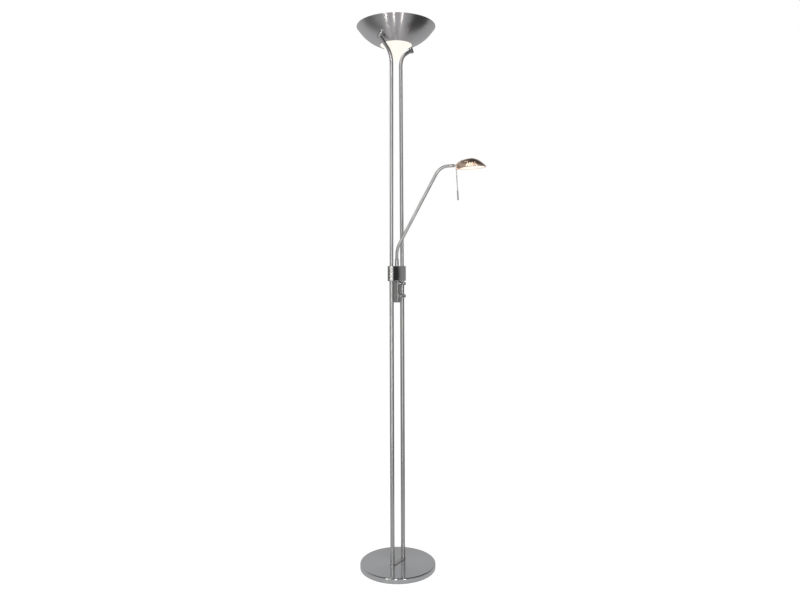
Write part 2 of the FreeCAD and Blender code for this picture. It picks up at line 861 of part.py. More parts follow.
def reading_lens():
    form = shade_form(shade_wall + lens_gap)
    plate = form.common(rim_slab(lens_recess, lens_recess + lens_thickness))
    return head_placed(plate.cut(box(-10, seat_tube_end + 6, -12, 12, -30, 20)))


def lens_ring():
    outer = shade_form(shade_wall + lens_gap)
    inner = shade_form(shade_wall + lens_gap + lens_ring_width)
    body = outer.cut(inner).common(rim_slab(0, lens_ring_height))
    return head_placed(body.cut(box(-10, seat_tube_end, -14, 14, -30, 20)))


def on_crown(shape):
    """Stands a shape on the crown line, at the shade screw, square to the surface."""
    a = shade_screw_at
    slope = -2 * shade_crown_height * (a - shade_crown) / crown_rear_length ** 2
    upright = line(Vector(a, 0, 0), Vector(a, 0, shade_crown_height))
    top = upright.common(shade_form(0)).BoundBox.ZMax
    return turned(shape, Vector(-slope, 0, 1), Vector(a, 0, top))


def shade_screw():
    body = screw(2.0, 0.9, shade_screw_radius, shade_screw_length, Vector(0, 0, 0.15), -Z)
    return head_placed(on_crown(body))


def capsule_socket():
    end = cap_socket_start + cap_socket_length
    body = cylinder(cap_socket_radius, cap_socket_length, Vector(cap_socket_start, 0, 0), X)
    rim = [e for e in body.Edges if e.BoundBox.XMin > end - 0.1]
    body = body.makeFillet(1.0, rim)
    body = body.cut(box(end - 5, end + 1, -4.2, 4.2, -1.8, 1.8))
    return head_placed(body)


def capsule_start():
    return cap_socket_start + cap_socket_length - 4.6


def capsule_lamp():
    """Halogen capsule: a flat pinch in the socket and a round glass bulb."""
    start = capsule_start()
    pinch = box(start, start + 8, -4.0, 4.0, -1.6, 1.6)
    base = Vector(start + 6, 0, 0)
    body = cylinder(capsule_radius, capsule_length, base, X)
    tip = [e for e in body.Edges if e.BoundBox.XMin > base.x + capsule_length - 0.1]
    body = body.makeFillet(capsule_radius * 0.8, tip).fuse(pinch)
    hollow_length = capsule_length - capsule_radius - 3
    return head_placed(body.cut(cylinder(capsule_radius - capsule_wall, hollow_length, base + X * 3, X)))


def rod_top():
    return Vector(0, 0, -shade_drop + 1.4)


def handle_rod():
    return head_placed(cylinder(rod_radius, rod_length, rod_top(), -Z))


def handle_grip():
    top = rod_top() - Z * (rod_length + 2.0 - rod_grip_length)
    body = cylinder(rod_grip_radius, rod_grip_length, top, -Z)
    ends = [e for e in body.Edges if e.BoundBox.ZLength < 1e-6]
    body = body.makeFillet(1.0, ends)
    return head_placed(body.cut(cylinder(rod_radius, rod_grip_length - 2.0, top, -Z)))


# ---- bowl ---------------------------------------------------------------------------

def bowl_arc():
    """Centre and radius of the arc that the bowl's outer face follows, mouth at height 0."""
    run = bowl_rim_radius - bowl_mouth_radius
    chord = math.hypot(run, bowl_depth)
    radius = (chord ** 2 / 4 + bowl_sag ** 2) / (2 * bowl_sag)
    middle = (bowl_mouth_radius + run / 2, bowl_depth / 2)
    inward = (-bowl_depth / chord, run / chord)
    centre = [m + n * (radius - bowl_sag) for m, n in zip(middle, inward)]
    return centre, radius


def bowl_angle(radial):
    centre, radius = bowl_arc()
    return -math.acos((radial - centre[0]) / radius)


def bowl_point(angle, depth):
    """A point depth inside the bowl's outer face, on the normal at an angle of its arc."""
    centre, radius = bowl_arc()
    reach = radius - depth
    return at(centre[0] + reach * math.cos(angle), centre[1] + reach * math.sin(angle))


def bowl_normal(angle):
    return Vector(-math.cos(angle), 0, -math.sin(angle))


def post_angle():
    return bowl_angle(post_contact_radius)


def bowl_level():
    return pole_end().z - bowl_point(post_angle(), -post_standoff).z


def bowl_band(depth0, depth1, angle0, angle1):
    """Turned band between two depths under the bowl's outer face."""
    middle = (angle0 + angle1) / 2
    edges = [
        arc(bowl_point(angle0, depth0), bowl_point(middle, depth0), bowl_point(angle1, depth0)),
        line(bowl_point(angle1, depth0), bowl_point(angle1, depth1)),
        arc(bowl_point(angle1, depth1), bowl_point(middle, depth1), bowl_point(angle0, depth1)),
        line(bowl_point(angle0, depth1), bowl_point(angle0, depth0)),
    ]
    return lathe(edges)


def raised(shape):
    result = shape.copy()
    result.translate(Z * bowl_level())
    return result


def bowl_body():
    mouth = bowl_angle(bowl_mouth_radius)
    rim = bowl_angle(bowl_rim_radius)
    shell = bowl_band(0, bowl_wall, mouth, rim)
    bead_centre = bowl_point(rim, bowl_wall / 2)
    bead = Part.makeTorus(bead_centre.x, bowl_bead_radius, Vector(0, 0, bead_centre.z))
    return shell.fuse(bead).removeSplitter()


def bowl_shell():
    body = bowl_body()
    for hole in (post_bore(nipple_radius), mirrored(post_bore(nipple_radius))):
        body = body.cut(hole)
    return raised(body)


def post_line(radius, depth0, depth1):
    """Cylinder on the +X post's axis between two depths inside the bowl's outer face."""
    angle = post_angle()
    return cylinder(radius, depth1 - depth0, bowl_point(angle, depth0), bowl_normal(angle))


def post_bore(radius):
    return post_line(radius, -post_length / 2, bowl_wall + nipple_inside)


def post_envelope():
    return raised(post_line(post_radius, -post_length, bowl_wall))


def bowl_post():
    body = post_line(post_radius, -post_length, bowl_wall * 0.8)
    outer_end = bowl_point(post_angle(), -post_length)
    far = [e for e in body.Edges if len(e.Vertexes) == 1 and (e.CenterOfMass - outer_end).Length < 0.5]
    body = body.makeFillet(1.5, far)
    body = body.cut(bowl_body())
    body = max(body.Solids, key=lambda s: s.Volume)
    body = body.cut(post_line(nipple_radius, -post_length / 2, bowl_wall * 2))
    path = upper_pole_path()
    inward = (path[2] - path[1]).normalize()
    end = Vector(path[2].x, 0, path[2].z - bowl_level())
    reach = post_radius * 2
    wire_hole = cylinder(upper_pole_radius - upper_pole_wall - 1.5, reach, end - inward * reach, inward)
    return raised(body.cut(wire_hole))


def post_nipple():
    body = post_line(nipple_radius, -post_length / 2, bowl_wall + nipple_inside)
    return raised(body.cut(post_line(nipple_bore_radius, -post_length, post_length)))


def washer_depth():
    return bowl_wall + 0.3


def bowl_washer():
    start = washer_depth()
    body = post_line(bowl_washer_radius, start, start + bowl_washer_thickness)
    return raised(body.cut(post_line(nipple_radius + socket_clearance, 0, post_length)))


def strip_depth():
    return washer_depth() + bowl_washer_thickness


def bowl_nut():
    angle = post_angle()
    base = bowl_point(angle, strip_depth() + strip_thickness)
    body = hexagon(bowl_nut_flats, bowl_nut_height, base, bowl_normal(angle))
    return raised(body.cut(post_line(nipple_radius, 0, post_length)))


def strip_corner():
    """Where the +X tab of the lamp strip bends to the horizontal, on its underside."""
    angle = post_angle()
    tangent = Vector(bowl_normal(angle).z, 0, -bowl_normal(angle).x)
    return bowl_point(angle, strip_depth()) - tangent * strip_tab_in


def lamp_strip():
    angle = post_angle()
    normal = bowl_normal(angle)
    tangent = Vector(normal.z, 0, -normal.x)
    corner = strip_corner()
    tip = bowl_point(angle, strip_depth()) + tangent * strip_tab_out
    miter = (normal + Z) * (strip_thickness / (1 + normal.z))
    right = [corner, tip, tip + normal * strip_thickness, corner + miter]
    left = [Vector(-p.x, 0, p.z) for p in right]
    outline = [left[3], left[2], left[1], left[0], right[0], right[1], right[2], right[3], left[3]]
    body = Part.Face(Part.makePolygon(outline)).extrude(Y * strip_width)
    body.translate(-Y * strip_width / 2)
    hole = post_line(nipple_radius + socket_clearance, 0, post_length)
    return raised(body.cut(hole).cut(mirrored(hole)))


def strip_top():
    return strip_corner().z + strip_thickness


def tube_axis():
    return strip_top() + tube_axis_rise


def holder_face():
    """Inner face of a tube holder, from the lamp's axis."""
    return tube_half_length + tube_end_length


def tube_holder():
    x0 = holder_face()
    half = tube_holder_width / 2
    body = box(x0, x0 + tube_holder_length, -half, half, strip_top(), strip_top() + tube_holder_height)
    upper = [e for e in body.Edges if e.BoundBox.ZMin > strip_top() + tube_holder_height - 0.01]
    body = body.makeFillet(1.5, upper)
    body = body.cut(cylinder(tube_pin_radius + 0.3, tube_pin_length + 1, Vector(x0, 0, tube_axis()), X))
    return raised(body)


def halogen_tube():
    start = Vector(-tube_half_length, 0, tube_axis())
    body = cylinder(tube_radius, tube_half_length * 2, start, X)
    ends = [e for e in body.Edges if e.BoundBox.XLength < 1e-6]
    body = body.makeFillet(tube_radius * 0.5, ends)
    inside = start + X * 4
    return raised(body.cut(cylinder(tube_radius - tube_wall, tube_half_length * 2 - 8, inside, X)))


def tube_filament():
    start = Vector(-filament_half_length, 0, tube_axis())
    return raised(cylinder(filament_radius, filament_half_length * 2, start, X))


def tube_ends():
    parts = []
    for side in (-1, 1):
        start = Vector(side * tube_half_length, 0, tube_axis())
        body = cylinder(tube_end_radius, tube_end_length, start, X * side)
        tip = start + X * side * tube_end_length
        parts.append(body.fuse(cylinder(tube_pin_radius, tube_pin_length, tip, X * side)))
    return raised(Part.makeCompound(parts))


def cone_gasket():
    mouth = bowl_angle(bowl_mouth_radius + cone_clearance)
    outer = bowl_angle(bowl_mouth_radius + cone_flange - 1)
    return raised(bowl_band(bowl_wall, bowl_wall + gasket_thickness, mouth, outer))


def glass_cone():
    """Opal glass funnel that hangs through the bowl's mouth from a flange on its seat."""
    seat = bowl_wall + gasket_thickness
    inner_angle = bowl_angle(bowl_mouth_radius - cone_clearance / 2)
    bend_angle = bowl_angle(bowl_mouth_radius + cone_wall)
    outer_angle = bowl_angle(bowl_mouth_radius + cone_flange)
    corner = bowl_point(inner_angle, seat)
    foot = at(cone_tip_radius, -cone_depth + cone_tip_radius * 0.8)
    side = arc(corner, at(cone_waist_radius, -cone_waist_drop), foot)
    centre = side.Curve.Center
    deeper = side.Curve.Radius + cone_wall

    def inside(p):
        return centre + (p - centre).normalize() * deeper

    shoulder = at(cone_tip_radius * 0.75, -cone_depth + cone_tip_radius * 0.22)
    tip = at(cone_tip_radius * 0.3, -cone_depth)
    floor = inside(foot)
    waist = inside(at(cone_waist_radius, -cone_waist_drop))
    flange_in = bowl_point(bend_angle, seat + cone_wall)
    flange_out = bowl_point(outer_angle, seat + cone_wall)
    flange_middle = (bend_angle + outer_angle) / 2
    rest_middle = (inner_angle + outer_angle) / 2
    rim = bowl_point(outer_angle, seat)
    edges = [
        side,
        arc(foot, shoulder, tip),
        line(tip, at(0, tip.z)),
        line(at(0, tip.z), at(0, floor.z)),
        line(at(0, floor.z), floor),
        arc(floor, waist, inside(corner)),
        line(inside(corner), flange_in),
        arc(flange_in, bowl_point(flange_middle, seat + cone_wall), flange_out),
        line(flange_out, rim),
        arc(rim, bowl_point(rest_middle, seat), corner),
    ]
    return raised(lathe(edges))


def bowl_inside():
    """The space inside the bowl above its mouth."""
    mouth = bowl_angle(bowl_mouth_radius)
    rim = bowl_angle(bowl_rim_radius)
    middle = (mouth + rim) / 2
    low = bowl_point(mouth, bowl_wall)
    high = bowl_point(rim, bowl_wall)
    edges = [
        arc(low, bowl_point(middle, bowl_wall), high),
        line(high, at(0, high.z)),
        line(at(0, high.z), at(0, low.z)),
        line(at(0, low.z), low),
    ]
    return lathe(edges)


def safety_glass():
    body = cylinder(screen_radius, screen_thickness, Vector(0, 0, screen_rise))
    body = body.makeChamfer(0.6, [e for e in body.Edges if e.BoundBox.ZLength < 1e-6])
    return raised(body)


def glass_clips():
    """Sheet clips on the bowl's wall that carry the edge of the safety glass."""
    parts = []
    half = clip_width / 2
    low = screen_rise - clip_sheet
    top = screen_rise + screen_thickness
    for k in range(clip_count):
        ledge = box(screen_radius - clip_grip, bowl_rim_radius, -half, half, low, screen_rise)
        upright = box(screen_radius + 0.3, bowl_rim_radius, -half, half, screen_rise, top + 0.2)
        lip_low = top + 0.2
        lip = box(screen_radius - clip_grip / 2, bowl_rim_radius, -half, half, lip_low, lip_low + clip_sheet)
        clip = ledge.fuse(upright).fuse(lip).removeSplitter().common(bowl_inside())
        clip.rotate(Vector(), Z, 90 + 360 / clip_count * k)
        parts.append(clip)
    return raised(Part.makeCompound(parts))


# ---- the whole lamp -----------------------------------------------------------------

def all_nodes():
    main, reading = knob_levels()
    nodes = {
        "base_cover": base_cover(),
        "base_weight": base_weight(),
        "base_pad": base_pad(),
        "cable_gland": cable_gland(),
        "foot_plate": foot_plate(),
        "foot_studs": Part.makeCompound([foot_stud(x) for x in (-pole_x, pole_x)]),
        "foot_washers": Part.makeCompound([foot_washer(x) for x in (-pole_x, pole_x)]),
        "foot_nuts": Part.makeCompound([foot_nut(x) for x in (-pole_x, pole_x)]),
        "lower_pole_left": lower_pole(-pole_x),
        "lower_pole_right": lower_pole(pole_x),
        "upper_pole_right": upper_pole(),
        "upper_pole_left": mirrored(upper_pole()),
        "supply_lead": lower_lead(pole_x),
        "bowl_lead": upper_lead(),
        "clamp_block": clamp_block(),
        "pole_grub_screws": pole_grubs(),
        "housing_shell": housing_shell(),
        "housing_back_cover": housing_back(),
        "housing_screws": housing_screws(),
        "dimmer_board": dimmer_board(),
        "dimmer_main": dimmer_body(main),
        "dimmer_reading": dimmer_body(reading),
        "dimmer_nuts": Part.makeCompound([panel_nut(z) for z in (main, reading)]),
        "knob_collars": Part.makeCompound([knob_collar(z) for z in (main, reading)]),
        "dimmer_shaft_main": dimmer_shaft(main),
        "dimmer_shaft_reading": dimmer_shaft(reading),
        "knob_main": knob(main),
        "knob_reading": knob(reading),
        "arm_bush": arm_bush(),
        "arm_tube": arm_tube(),
        "arm_lead": arm_lead(),
        "arm_thrust_ring": arm_thrust_ring(),
        "arm_retainer": arm_retainer(),
        "head_knuckle": knuckle(),
        "tilt_pin": tilt_pin(),
        "head_neck": head_neck(),
        "reading_shade": reading_shade(),
        "shade_screw": shade_screw(),
        "reading_lens": reading_lens(),
        "lens_ring": lens_ring(),
        "capsule_socket": capsule_socket(),
        "capsule_lamp": capsule_lamp(),
        "handle_rod": handle_rod(),
        "handle_grip": handle_grip(),
        "bowl_shell": bowl_shell(),
        "bowl_post_right": bowl_post(),
        "bowl_post_left": mirrored(bowl_post()),
        "post_nipples": Part.makeCompound([post_nipple(), mirrored(post_nipple())]),
        "bowl_washers": Part.makeCompound([bowl_washer(), mirrored(bowl_washer())]),
        "bowl_nuts": Part.makeCompound([bowl_nut(), mirrored(bowl_nut())]),
        "lamp_strip": lamp_strip(),
        "tube_holder_right": tube_holder(),
        "tube_holder_left": mirrored(tube_holder()),
        "halogen_tube": halogen_tube(),
        "tube_filament": tube_filament(),
        "tube_ends": tube_ends(),
        "cone_gasket": cone_gasket(),
        "glass_cone": glass_cone(),
        "safety_glass": safety_glass(),
        "glass_clips": glass_clips(),
    }
    return nodes


def main():
    os.makedirs("parts", exist_ok=True)
    nodes = all_nodes()
    top = 0
    for name, shape in nodes.items():
        if not shape.isValid():
            print("not valid:", name)
        if not shape.Solids:
            print("no solid:", name)
        shape.exportStep("parts/" + name + ".step")
        top = max(top, shape.BoundBox.ZMax)
        print(f"{name:24s} solids {len(shape.Solids)}  volume {shape.Volume:12.1f}")
    print(f"{len(nodes)} nodes, overall height {top:.2f}")


main()
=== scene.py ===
import json
import math

import bmesh
import bpy
from mathutils import Matrix, Vector


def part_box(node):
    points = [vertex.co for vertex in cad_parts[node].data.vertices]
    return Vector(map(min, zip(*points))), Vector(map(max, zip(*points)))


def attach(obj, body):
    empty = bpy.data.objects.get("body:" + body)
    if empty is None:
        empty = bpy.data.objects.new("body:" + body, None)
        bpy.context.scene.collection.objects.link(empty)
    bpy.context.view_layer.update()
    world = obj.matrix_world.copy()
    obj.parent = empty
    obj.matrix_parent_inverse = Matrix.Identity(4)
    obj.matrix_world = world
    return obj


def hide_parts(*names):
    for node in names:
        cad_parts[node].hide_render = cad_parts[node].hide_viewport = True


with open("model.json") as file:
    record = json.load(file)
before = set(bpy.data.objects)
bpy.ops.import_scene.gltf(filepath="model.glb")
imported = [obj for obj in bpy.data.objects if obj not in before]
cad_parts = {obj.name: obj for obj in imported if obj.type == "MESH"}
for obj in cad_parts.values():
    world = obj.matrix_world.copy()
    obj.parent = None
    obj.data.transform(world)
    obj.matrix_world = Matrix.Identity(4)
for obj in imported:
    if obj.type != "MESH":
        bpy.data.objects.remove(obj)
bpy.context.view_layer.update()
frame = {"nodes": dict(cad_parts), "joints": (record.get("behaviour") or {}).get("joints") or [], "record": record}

nodes = frame["nodes"]
print("frame loaded:", len(nodes), "nodes")


def clearSelection():
    bpy.ops.object.select_all(action="DESELECT")


def makeActive(piece):
    clearSelection()
    piece.select_set(True)
    bpy.context.view_layer.objects.active = piece


def editMesh(piece):
    makeActive(piece)
    bpy.ops.object.mode_set(mode="EDIT")


def leaveEdit():
    bpy.ops.object.mode_set(mode="OBJECT")


def pick(piece, kind, test):
    # selects vertices, edges or faces of the mesh in edit mode by a test on each
    bpy.ops.mesh.select_mode(type=kind)
    bpy.ops.mesh.select_all(action="DESELECT")
    mesh = bmesh.from_edit_mesh(piece.data)
    items = {"VERT": mesh.verts, "EDGE": mesh.edges, "FACE": mesh.faces}[kind]
    for item in items:
        if test(item):
            item.select_set(True)
    mesh.select_flush_mode()
    bmesh.update_edit_mesh(piece.data)


def placeInMesh(piece):
    makeActive(piece)
    bpy.ops.object.transform_apply(location=True, rotation=True, scale=True)


def standAlong(piece, base, direction):
    # a piece built along +Z is stood on base, pointing along direction
    turn = Vector(direction).to_track_quat("Z", "Y").to_matrix().to_4x4()
    piece.matrix_world = Matrix.Translation(Vector(base)) @ turn
    placeInMesh(piece)
    return piece


def addModifier(piece, kind, **settings):
    modifier = piece.modifiers.new(kind.title(), kind)
    for key, value in settings.items():
        setattr(modifier, key, value)
    makeActive(piece)
    bpy.ops.object.modifier_apply(modifier=modifier.name)


def roundEdges(piece, width, segments=3, angle=30):
    addModifier(piece, "BEVEL", width=width, segments=segments, limit_method="ANGLE",
                angle_limit=math.radians(angle), harden_normals=False)


def cutAway(piece, cutter):
    addModifier(piece, "BOOLEAN", object=cutter, operation="DIFFERENCE", solver="EXACT")
    bpy.data.objects.remove(cutter)


def drillAlongY(piece, radius, depth, place, segments):
    clearSelection()
    bpy.ops.mesh.primitive_cylinder_add(vertices=segments, radius=radius, depth=depth, location=place,
                                        rotation=(math.radians(90), 0, 0))
    cutAway(piece, bpy.context.object)


def blankBlock(middle, size):
    # a plain block, to be shaped or cut with
    clearSelection()
    bpy.ops.mesh.primitive_cube_add(size=1, location=middle)
    block = bpy.context.object
    block.scale = size
    placeInMesh(block)
    return block


def joinPieces(pieces):
    clearSelection()
    for piece in pieces:
        piece.select_set(True)
    bpy.context.view_layer.objects.active = pieces[0]
    bpy.ops.object.join()
    return bpy.context.object


def copyPiece(piece, matrix=None):
    twin = piece.copy()
    twin.data = piece.data.copy()
    bpy.context.scene.collection.objects.link(twin)
    if matrix is not None:
        twin.matrix_world = matrix @ twin.matrix_world
        placeInMesh(twin)
    return twin


def finishPiece(piece, name, body, slot, stands=(), smooth=35):
    placeInMesh(piece)
    bpy.ops.object.shade_smooth_by_angle(angle=math.radians(smooth))
    piece.name = name
    piece.data.name = name
    piece.data.materials.clear()
    piece.data.materials.append(materials[slot])
    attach(piece, body)
    if stands:
        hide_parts(*stands)
    return piece


def turnPiece(rings, segments=96, closed=False, capStart=True, capEnd=True):
    # a circle is extruded and scaled from ring to ring, each ring a radius and a height
    clearSelection()
    radius, height = rings[0]
    bpy.ops.mesh.primitive_circle_add(vertices=segments, radius=radius, location=(0, 0, height))
    piece = bpy.context.object
    placeInMesh(piece)
    editMesh(piece)
    bpy.ops.mesh.select_mode(type="EDGE")
    bpy.ops.mesh.select_all(action="SELECT")
    if capStart and not closed:
        bpy.ops.mesh.edge_face_add()
        bpy.ops.mesh.select_all(action="SELECT")
        bpy.ops.mesh.region_to_loop()
    for nextRadius, nextHeight in rings[1:]:
        bpy.ops.mesh.extrude_edges_move(TRANSFORM_OT_translate={"value": (0, 0, nextHeight - height)})
        grow = nextRadius / radius
        bpy.ops.transform.resize(value=(grow, grow, 1), center_override=(0, 0, nextHeight))
        radius, height = nextRadius, nextHeight
    if capEnd and not closed:
        bpy.ops.mesh.edge_face_add()
    if closed:
        bpy.ops.mesh.select_all(action="SELECT")
        bpy.ops.mesh.remove_doubles(threshold=1e-6)
    bpy.ops.mesh.select_all(action="SELECT")
    bpy.ops.mesh.normals_make_consistent(inside=False)
    leaveEdit()
    return piece


def arcRings(centre, radius, start, end, steps):
    # rings along an arc of a profile, angles in degrees from the radial direction
    for k in range(steps + 1):
        angle = math.radians(start + (end - start) * k / steps)
        yield centre[0] + radius * math.cos(angle), centre[1] + radius * math.sin(angle)


def stadiumPiece(spacing, radius, low, high, segments):
    # a circle pulled apart along X, filled and raised to a slab with round ends
    clearSelection()
    bpy.ops.mesh.primitive_circle_add(vertices=segments, radius=radius, location=(0, 0, low),
                                      rotation=(0, 0, math.pi / segments))
    piece = bpy.context.object
    placeInMesh(piece)
    editMesh(piece)
    for side in (-1, 1):
        pick(piece, "VERT", lambda v: v.co.x * side > 0)
        bpy.ops.transform.translate(value=(side * spacing / 2, 0, 0))
    bpy.ops.mesh.select_all(action="SELECT")
    bpy.ops.mesh.edge_face_add()
    bpy.ops.mesh.extrude_region_move(TRANSFORM_OT_translate={"value": (0, 0, high - low)})
    bpy.ops.mesh.select_all(action="SELECT")
    bpy.ops.mesh.normals_make_consistent(inside=False)
    leaveEdit()
    return piece


def bevelRing(piece, level, width, segments):
    # rounds the edges that lie at one level
    editMesh(piece)
    pick(piece, "EDGE", lambda e: all(abs(v.co.z - level) < 1e-5 for v in e.verts))
    bpy.ops.mesh.bevel(offset=width, segments=segments, affect="EDGES")
    leaveEdit()


def tubeAlong(route, bends, radius, wall, segments=48):
    # a ring is extruded along the straight runs and spun round each bend, then given its wall
    clearSelection()
    heading = (route[1] - route[0]).normalized()
    bpy.ops.mesh.primitive_circle_add(vertices=segments, radius=radius, location=route[0],
                                      rotation=heading.to_track_quat("Z", "Y").to_euler())
    piece = bpy.context.object
    placeInMesh(piece)
    editMesh(piece)
    bpy.ops.mesh.select_mode(type="EDGE")
    bpy.ops.mesh.select_all(action="SELECT")
    place = route[0]
    for corner, following, bend in zip(route[1:], route[2:], bends):
        nextHeading = (following - corner).normalized()
        turn = heading.angle(nextHeading)
        begin = corner - heading * bend * math.tan(turn / 2)
        axis = heading.cross(nextHeading).normalized()
        centre = begin + axis.cross(heading) * bend
        bpy.ops.mesh.extrude_edges_move(TRANSFORM_OT_translate={"value": begin - place})
        steps = max(6, round(math.degrees(turn) / 3))  # about 3 degrees a step
        bpy.ops.mesh.spin(steps=steps, angle=-turn, center=centre, axis=axis)  # spin turns left-handed
        place = corner + nextHeading * bend * math.tan(turn / 2)
        heading = nextHeading
    bpy.ops.mesh.extrude_edges_move(TRANSFORM_OT_translate={"value": route[-1] - place})
    bpy.ops.mesh.select_all(action="SELECT")
    bpy.ops.mesh.normals_make_consistent(inside=False)
    leaveEdit()
    addModifier(piece, "SOLIDIFY", thickness=wall, offset=-1)
    return piece


class Wire:
    # a shader socket that takes part in Python sums

    def __init__(self, tree, socket=None):
        self.tree = tree
        self.socket = socket

    def node(self, kind, settings=None, values=None, out=0):
        made = self.tree.nodes.new("ShaderNode" + kind)
        for key, value in (settings or {}).items():
            if key == "stops":
                setRamp(made.color_ramp, value)
            else:
                setattr(made, key, value)
        for key, value in (values or {}).items():
            if isinstance(value, Wire):
                self.tree.links.new(value.socket, made.inputs[key])
            else:
                made.inputs[key].default_value = value
        return Wire(self.tree, made.outputs[out])

    def sum(self, operation, *values):
        return self.node("Math", {"operation": operation}, dict(enumerate(values)))

    def __add__(self, other):
        return self.sum("ADD", self, other)

    def __sub__(self, other):
        return self.sum("SUBTRACT", self, other)

    def __rsub__(self, other):
        return self.sum("SUBTRACT", other, self)

    def __mul__(self, other):
        return self.sum("MULTIPLY", self, other)

    def __truediv__(self, other):
        return self.sum("DIVIDE", self, other)

    def __pow__(self, other):
        return self.sum("POWER", self, other)

    __radd__ = __add__
    __rmul__ = __mul__


def setRamp(ramp, stops):
    while len(ramp.elements) < len(stops):
        ramp.elements.new(0.5)
    for element, (place, colour) in zip(ramp.elements, stops):
        element.position = place
        element.color = colour


def grey(value):
    return (value, value, value, 1)


def newMaterial(name):
    material = bpy.data.materials.new(name)
    material.use_nodes = True
    shader = material.node_tree.nodes["Principled BSDF"]
    return material, Wire(material.node_tree), shader


def setShader(wire, shader, values):
    for key, value in values.items():
        if isinstance(value, Wire):
            wire.tree.links.new(value.socket, shader.inputs[key])
        else:
            shader.inputs[key].default_value = value


def objectPlace(wire):
    return wire.node("TexCoord", out="Object")


def split(place):
    made = place.tree.nodes.new("ShaderNodeSeparateXYZ")
    place.tree.links.new(place.socket, made.inputs[0])
    return [Wire(place.tree, made.outputs[k]) for k in range(3)]


def join(wire, x, y, z):
    return wire.node("CombineXYZ", values={0: x, 1: y, 2: z})


def noise(place, scale, detail=3, roughness=0.5):
    return place.node("TexNoise", values={"Vector": place, "Scale": scale, "Detail": detail,
                                          "Roughness": roughness}, out="Fac")


def mixColour(factor, first, second):
    return factor.node("Mix", {"data_type": "RGBA"}, {0: factor, 6: first, 7: second}, out=2)


def bump(height, strength, distance):
    return height.node("Bump", values={"Height": height, "Strength": strength, "Distance": distance})


def roundBrushedSteel(name, finish):
    # steel brushed while it turns: fine rings about the lamp's own axis
    material, wire, shader = newMaterial(name)
    x, y, z = split(objectPlace(wire))
    radius = (x * x + y * y) ** 0.5
    around = y / (radius + 0.001)
    along = join(wire, radius * finish["linesPerMetre"], z * finish["linesPerMetre"], around * 1.5)
    lines = noise(along, 1.0, 4, 0.65)
    bands = noise(join(wire, radius * 90, z * 90, around * 3), 1.0, 2)
    smudge = noise(objectPlace(wire), 14, 4)
    tone = mixColour(lines, finish["dark"], finish["light"])
    tone = mixColour(bands * 0.25, tone, finish["light"])
    rough = finish["roughness"] + (lines - 0.5) * 0.03 + (smudge - 0.5) * 0.03
    setShader(wire, shader, {
        "Base Color": tone, "Metallic": 1.0, "Roughness": rough,
        "Anisotropic": finish["anisotropy"], "Anisotropic Rotation": 0.25,
        "Normal": bump(lines, 0.02, 0.00001),
    })
    return material


def nickel(name, finish):
    # satin plating: faint drawn lines along the piece and a little handling haze
    material, wire, shader = newMaterial(name)
    place = objectPlace(wire)
    x, y, z = split(place)
    drawn = noise(join(wire, x * 2600, y * 2600, z * 24), 1.0, 3)
    haze = noise(place, 22, 4)
    tone = mixColour(haze, finish["dark"], finish["light"])
    rough = finish["roughness"] + (haze - 0.5) * 0.08 + (drawn - 0.5) * 0.04
    setShader(wire, shader, {
        "Base Color": tone, "Metallic": 1.0, "Roughness": rough, "Normal": bump(drawn, 0.02, 0.00001),
    })
    return material


def polishedMetal(name, finish):
    material, wire, shader = newMaterial(name)
    place = objectPlace(wire)
    haze = noise(place, 35, 5)
    wipes = noise(place.node("Mapping", values={"Vector": place, "Scale": (900, 900, 60)}), 1.0, 2)
    rough = finish["roughness"] + (haze - 0.5) * 0.03 + (wipes - 0.5) * 0.01
    tone = mixColour(haze, finish["dark"], finish["light"])
    setShader(wire, shader, {
        "Base Color": tone, "Metallic": 1.0, "Roughness": rough, "Normal": bump(haze, 0.02, 0.00005),
    })
    return material


def zincPlate(name, finish):
    material, wire, shader = newMaterial(name)
    place = objectPlace(wire)
    grain = place.node("TexVoronoi", {"feature": "F1"}, {"Vector": place, "Scale": 700}, out="Distance")
    cloud = noise(place, 60, 4)
    tone = mixColour(cloud, finish["dark"], finish["light"])
    setShader(wire, shader, {
        "Base Color": tone, "Metallic": 1.0, "Roughness": finish["roughness"] + (cloud - 0.5) * 0.2,
        "Normal": bump(grain, 0.08, 0.00005),
    })
    return material


def paintedMetal(name, finish):
    # fine orange peel under a satin coat
    material, wire, shader = newMaterial(name)
    place = objectPlace(wire)
    peel = noise(place, 900, 2)
    cloud = noise(place, 40, 3)
    tone = mixColour(cloud, finish["dark"], finish["light"])
    setShader(wire, shader, {
        "Base Color": tone, "Metallic": finish["metallic"], "Coat Weight": 0.3, "Coat Roughness": 0.2,
        "Roughness": finish["roughness"] + (cloud - 0.5) * 0.08, "Normal": bump(peel, 0.1, 0.00005),
    })
    return material


def mouldedPlastic(name, finish):
    material, wire, shader = newMaterial(name)
    place = objectPlace(wire)
    grain = noise(place, 1500, 2)
    cloud = noise(place, 50, 3)
    tone = mixColour(cloud, finish["dark"], finish["light"])
    setShader(wire, shader, {
        "Base Color": tone, "Roughness": finish["roughness"] + (cloud - 0.5) * 0.12,
        "Normal": bump(grain, 0.2, 0.00008),
    })
    return material


def castIron(name, finish):
    material, wire, shader = newMaterial(name)
    place = objectPlace(wire)
    sand = noise(place, 420, 6, 0.7)
    patches = noise(place, 18, 5)
    rust = patches.node("ValToRGB", {"stops": [(0.55, grey(0)), (0.75, grey(1))]}, {0: patches})
    tone = mixColour(rust * 0.5, finish["dark"], finish["light"])
    setShader(wire, shader, {
        "Base Color": tone, "Metallic": 0.4, "Roughness": 0.65 + (sand - 0.5) * 0.3,
        "Normal": bump(sand, 0.5, 0.0006),
    })
    return material


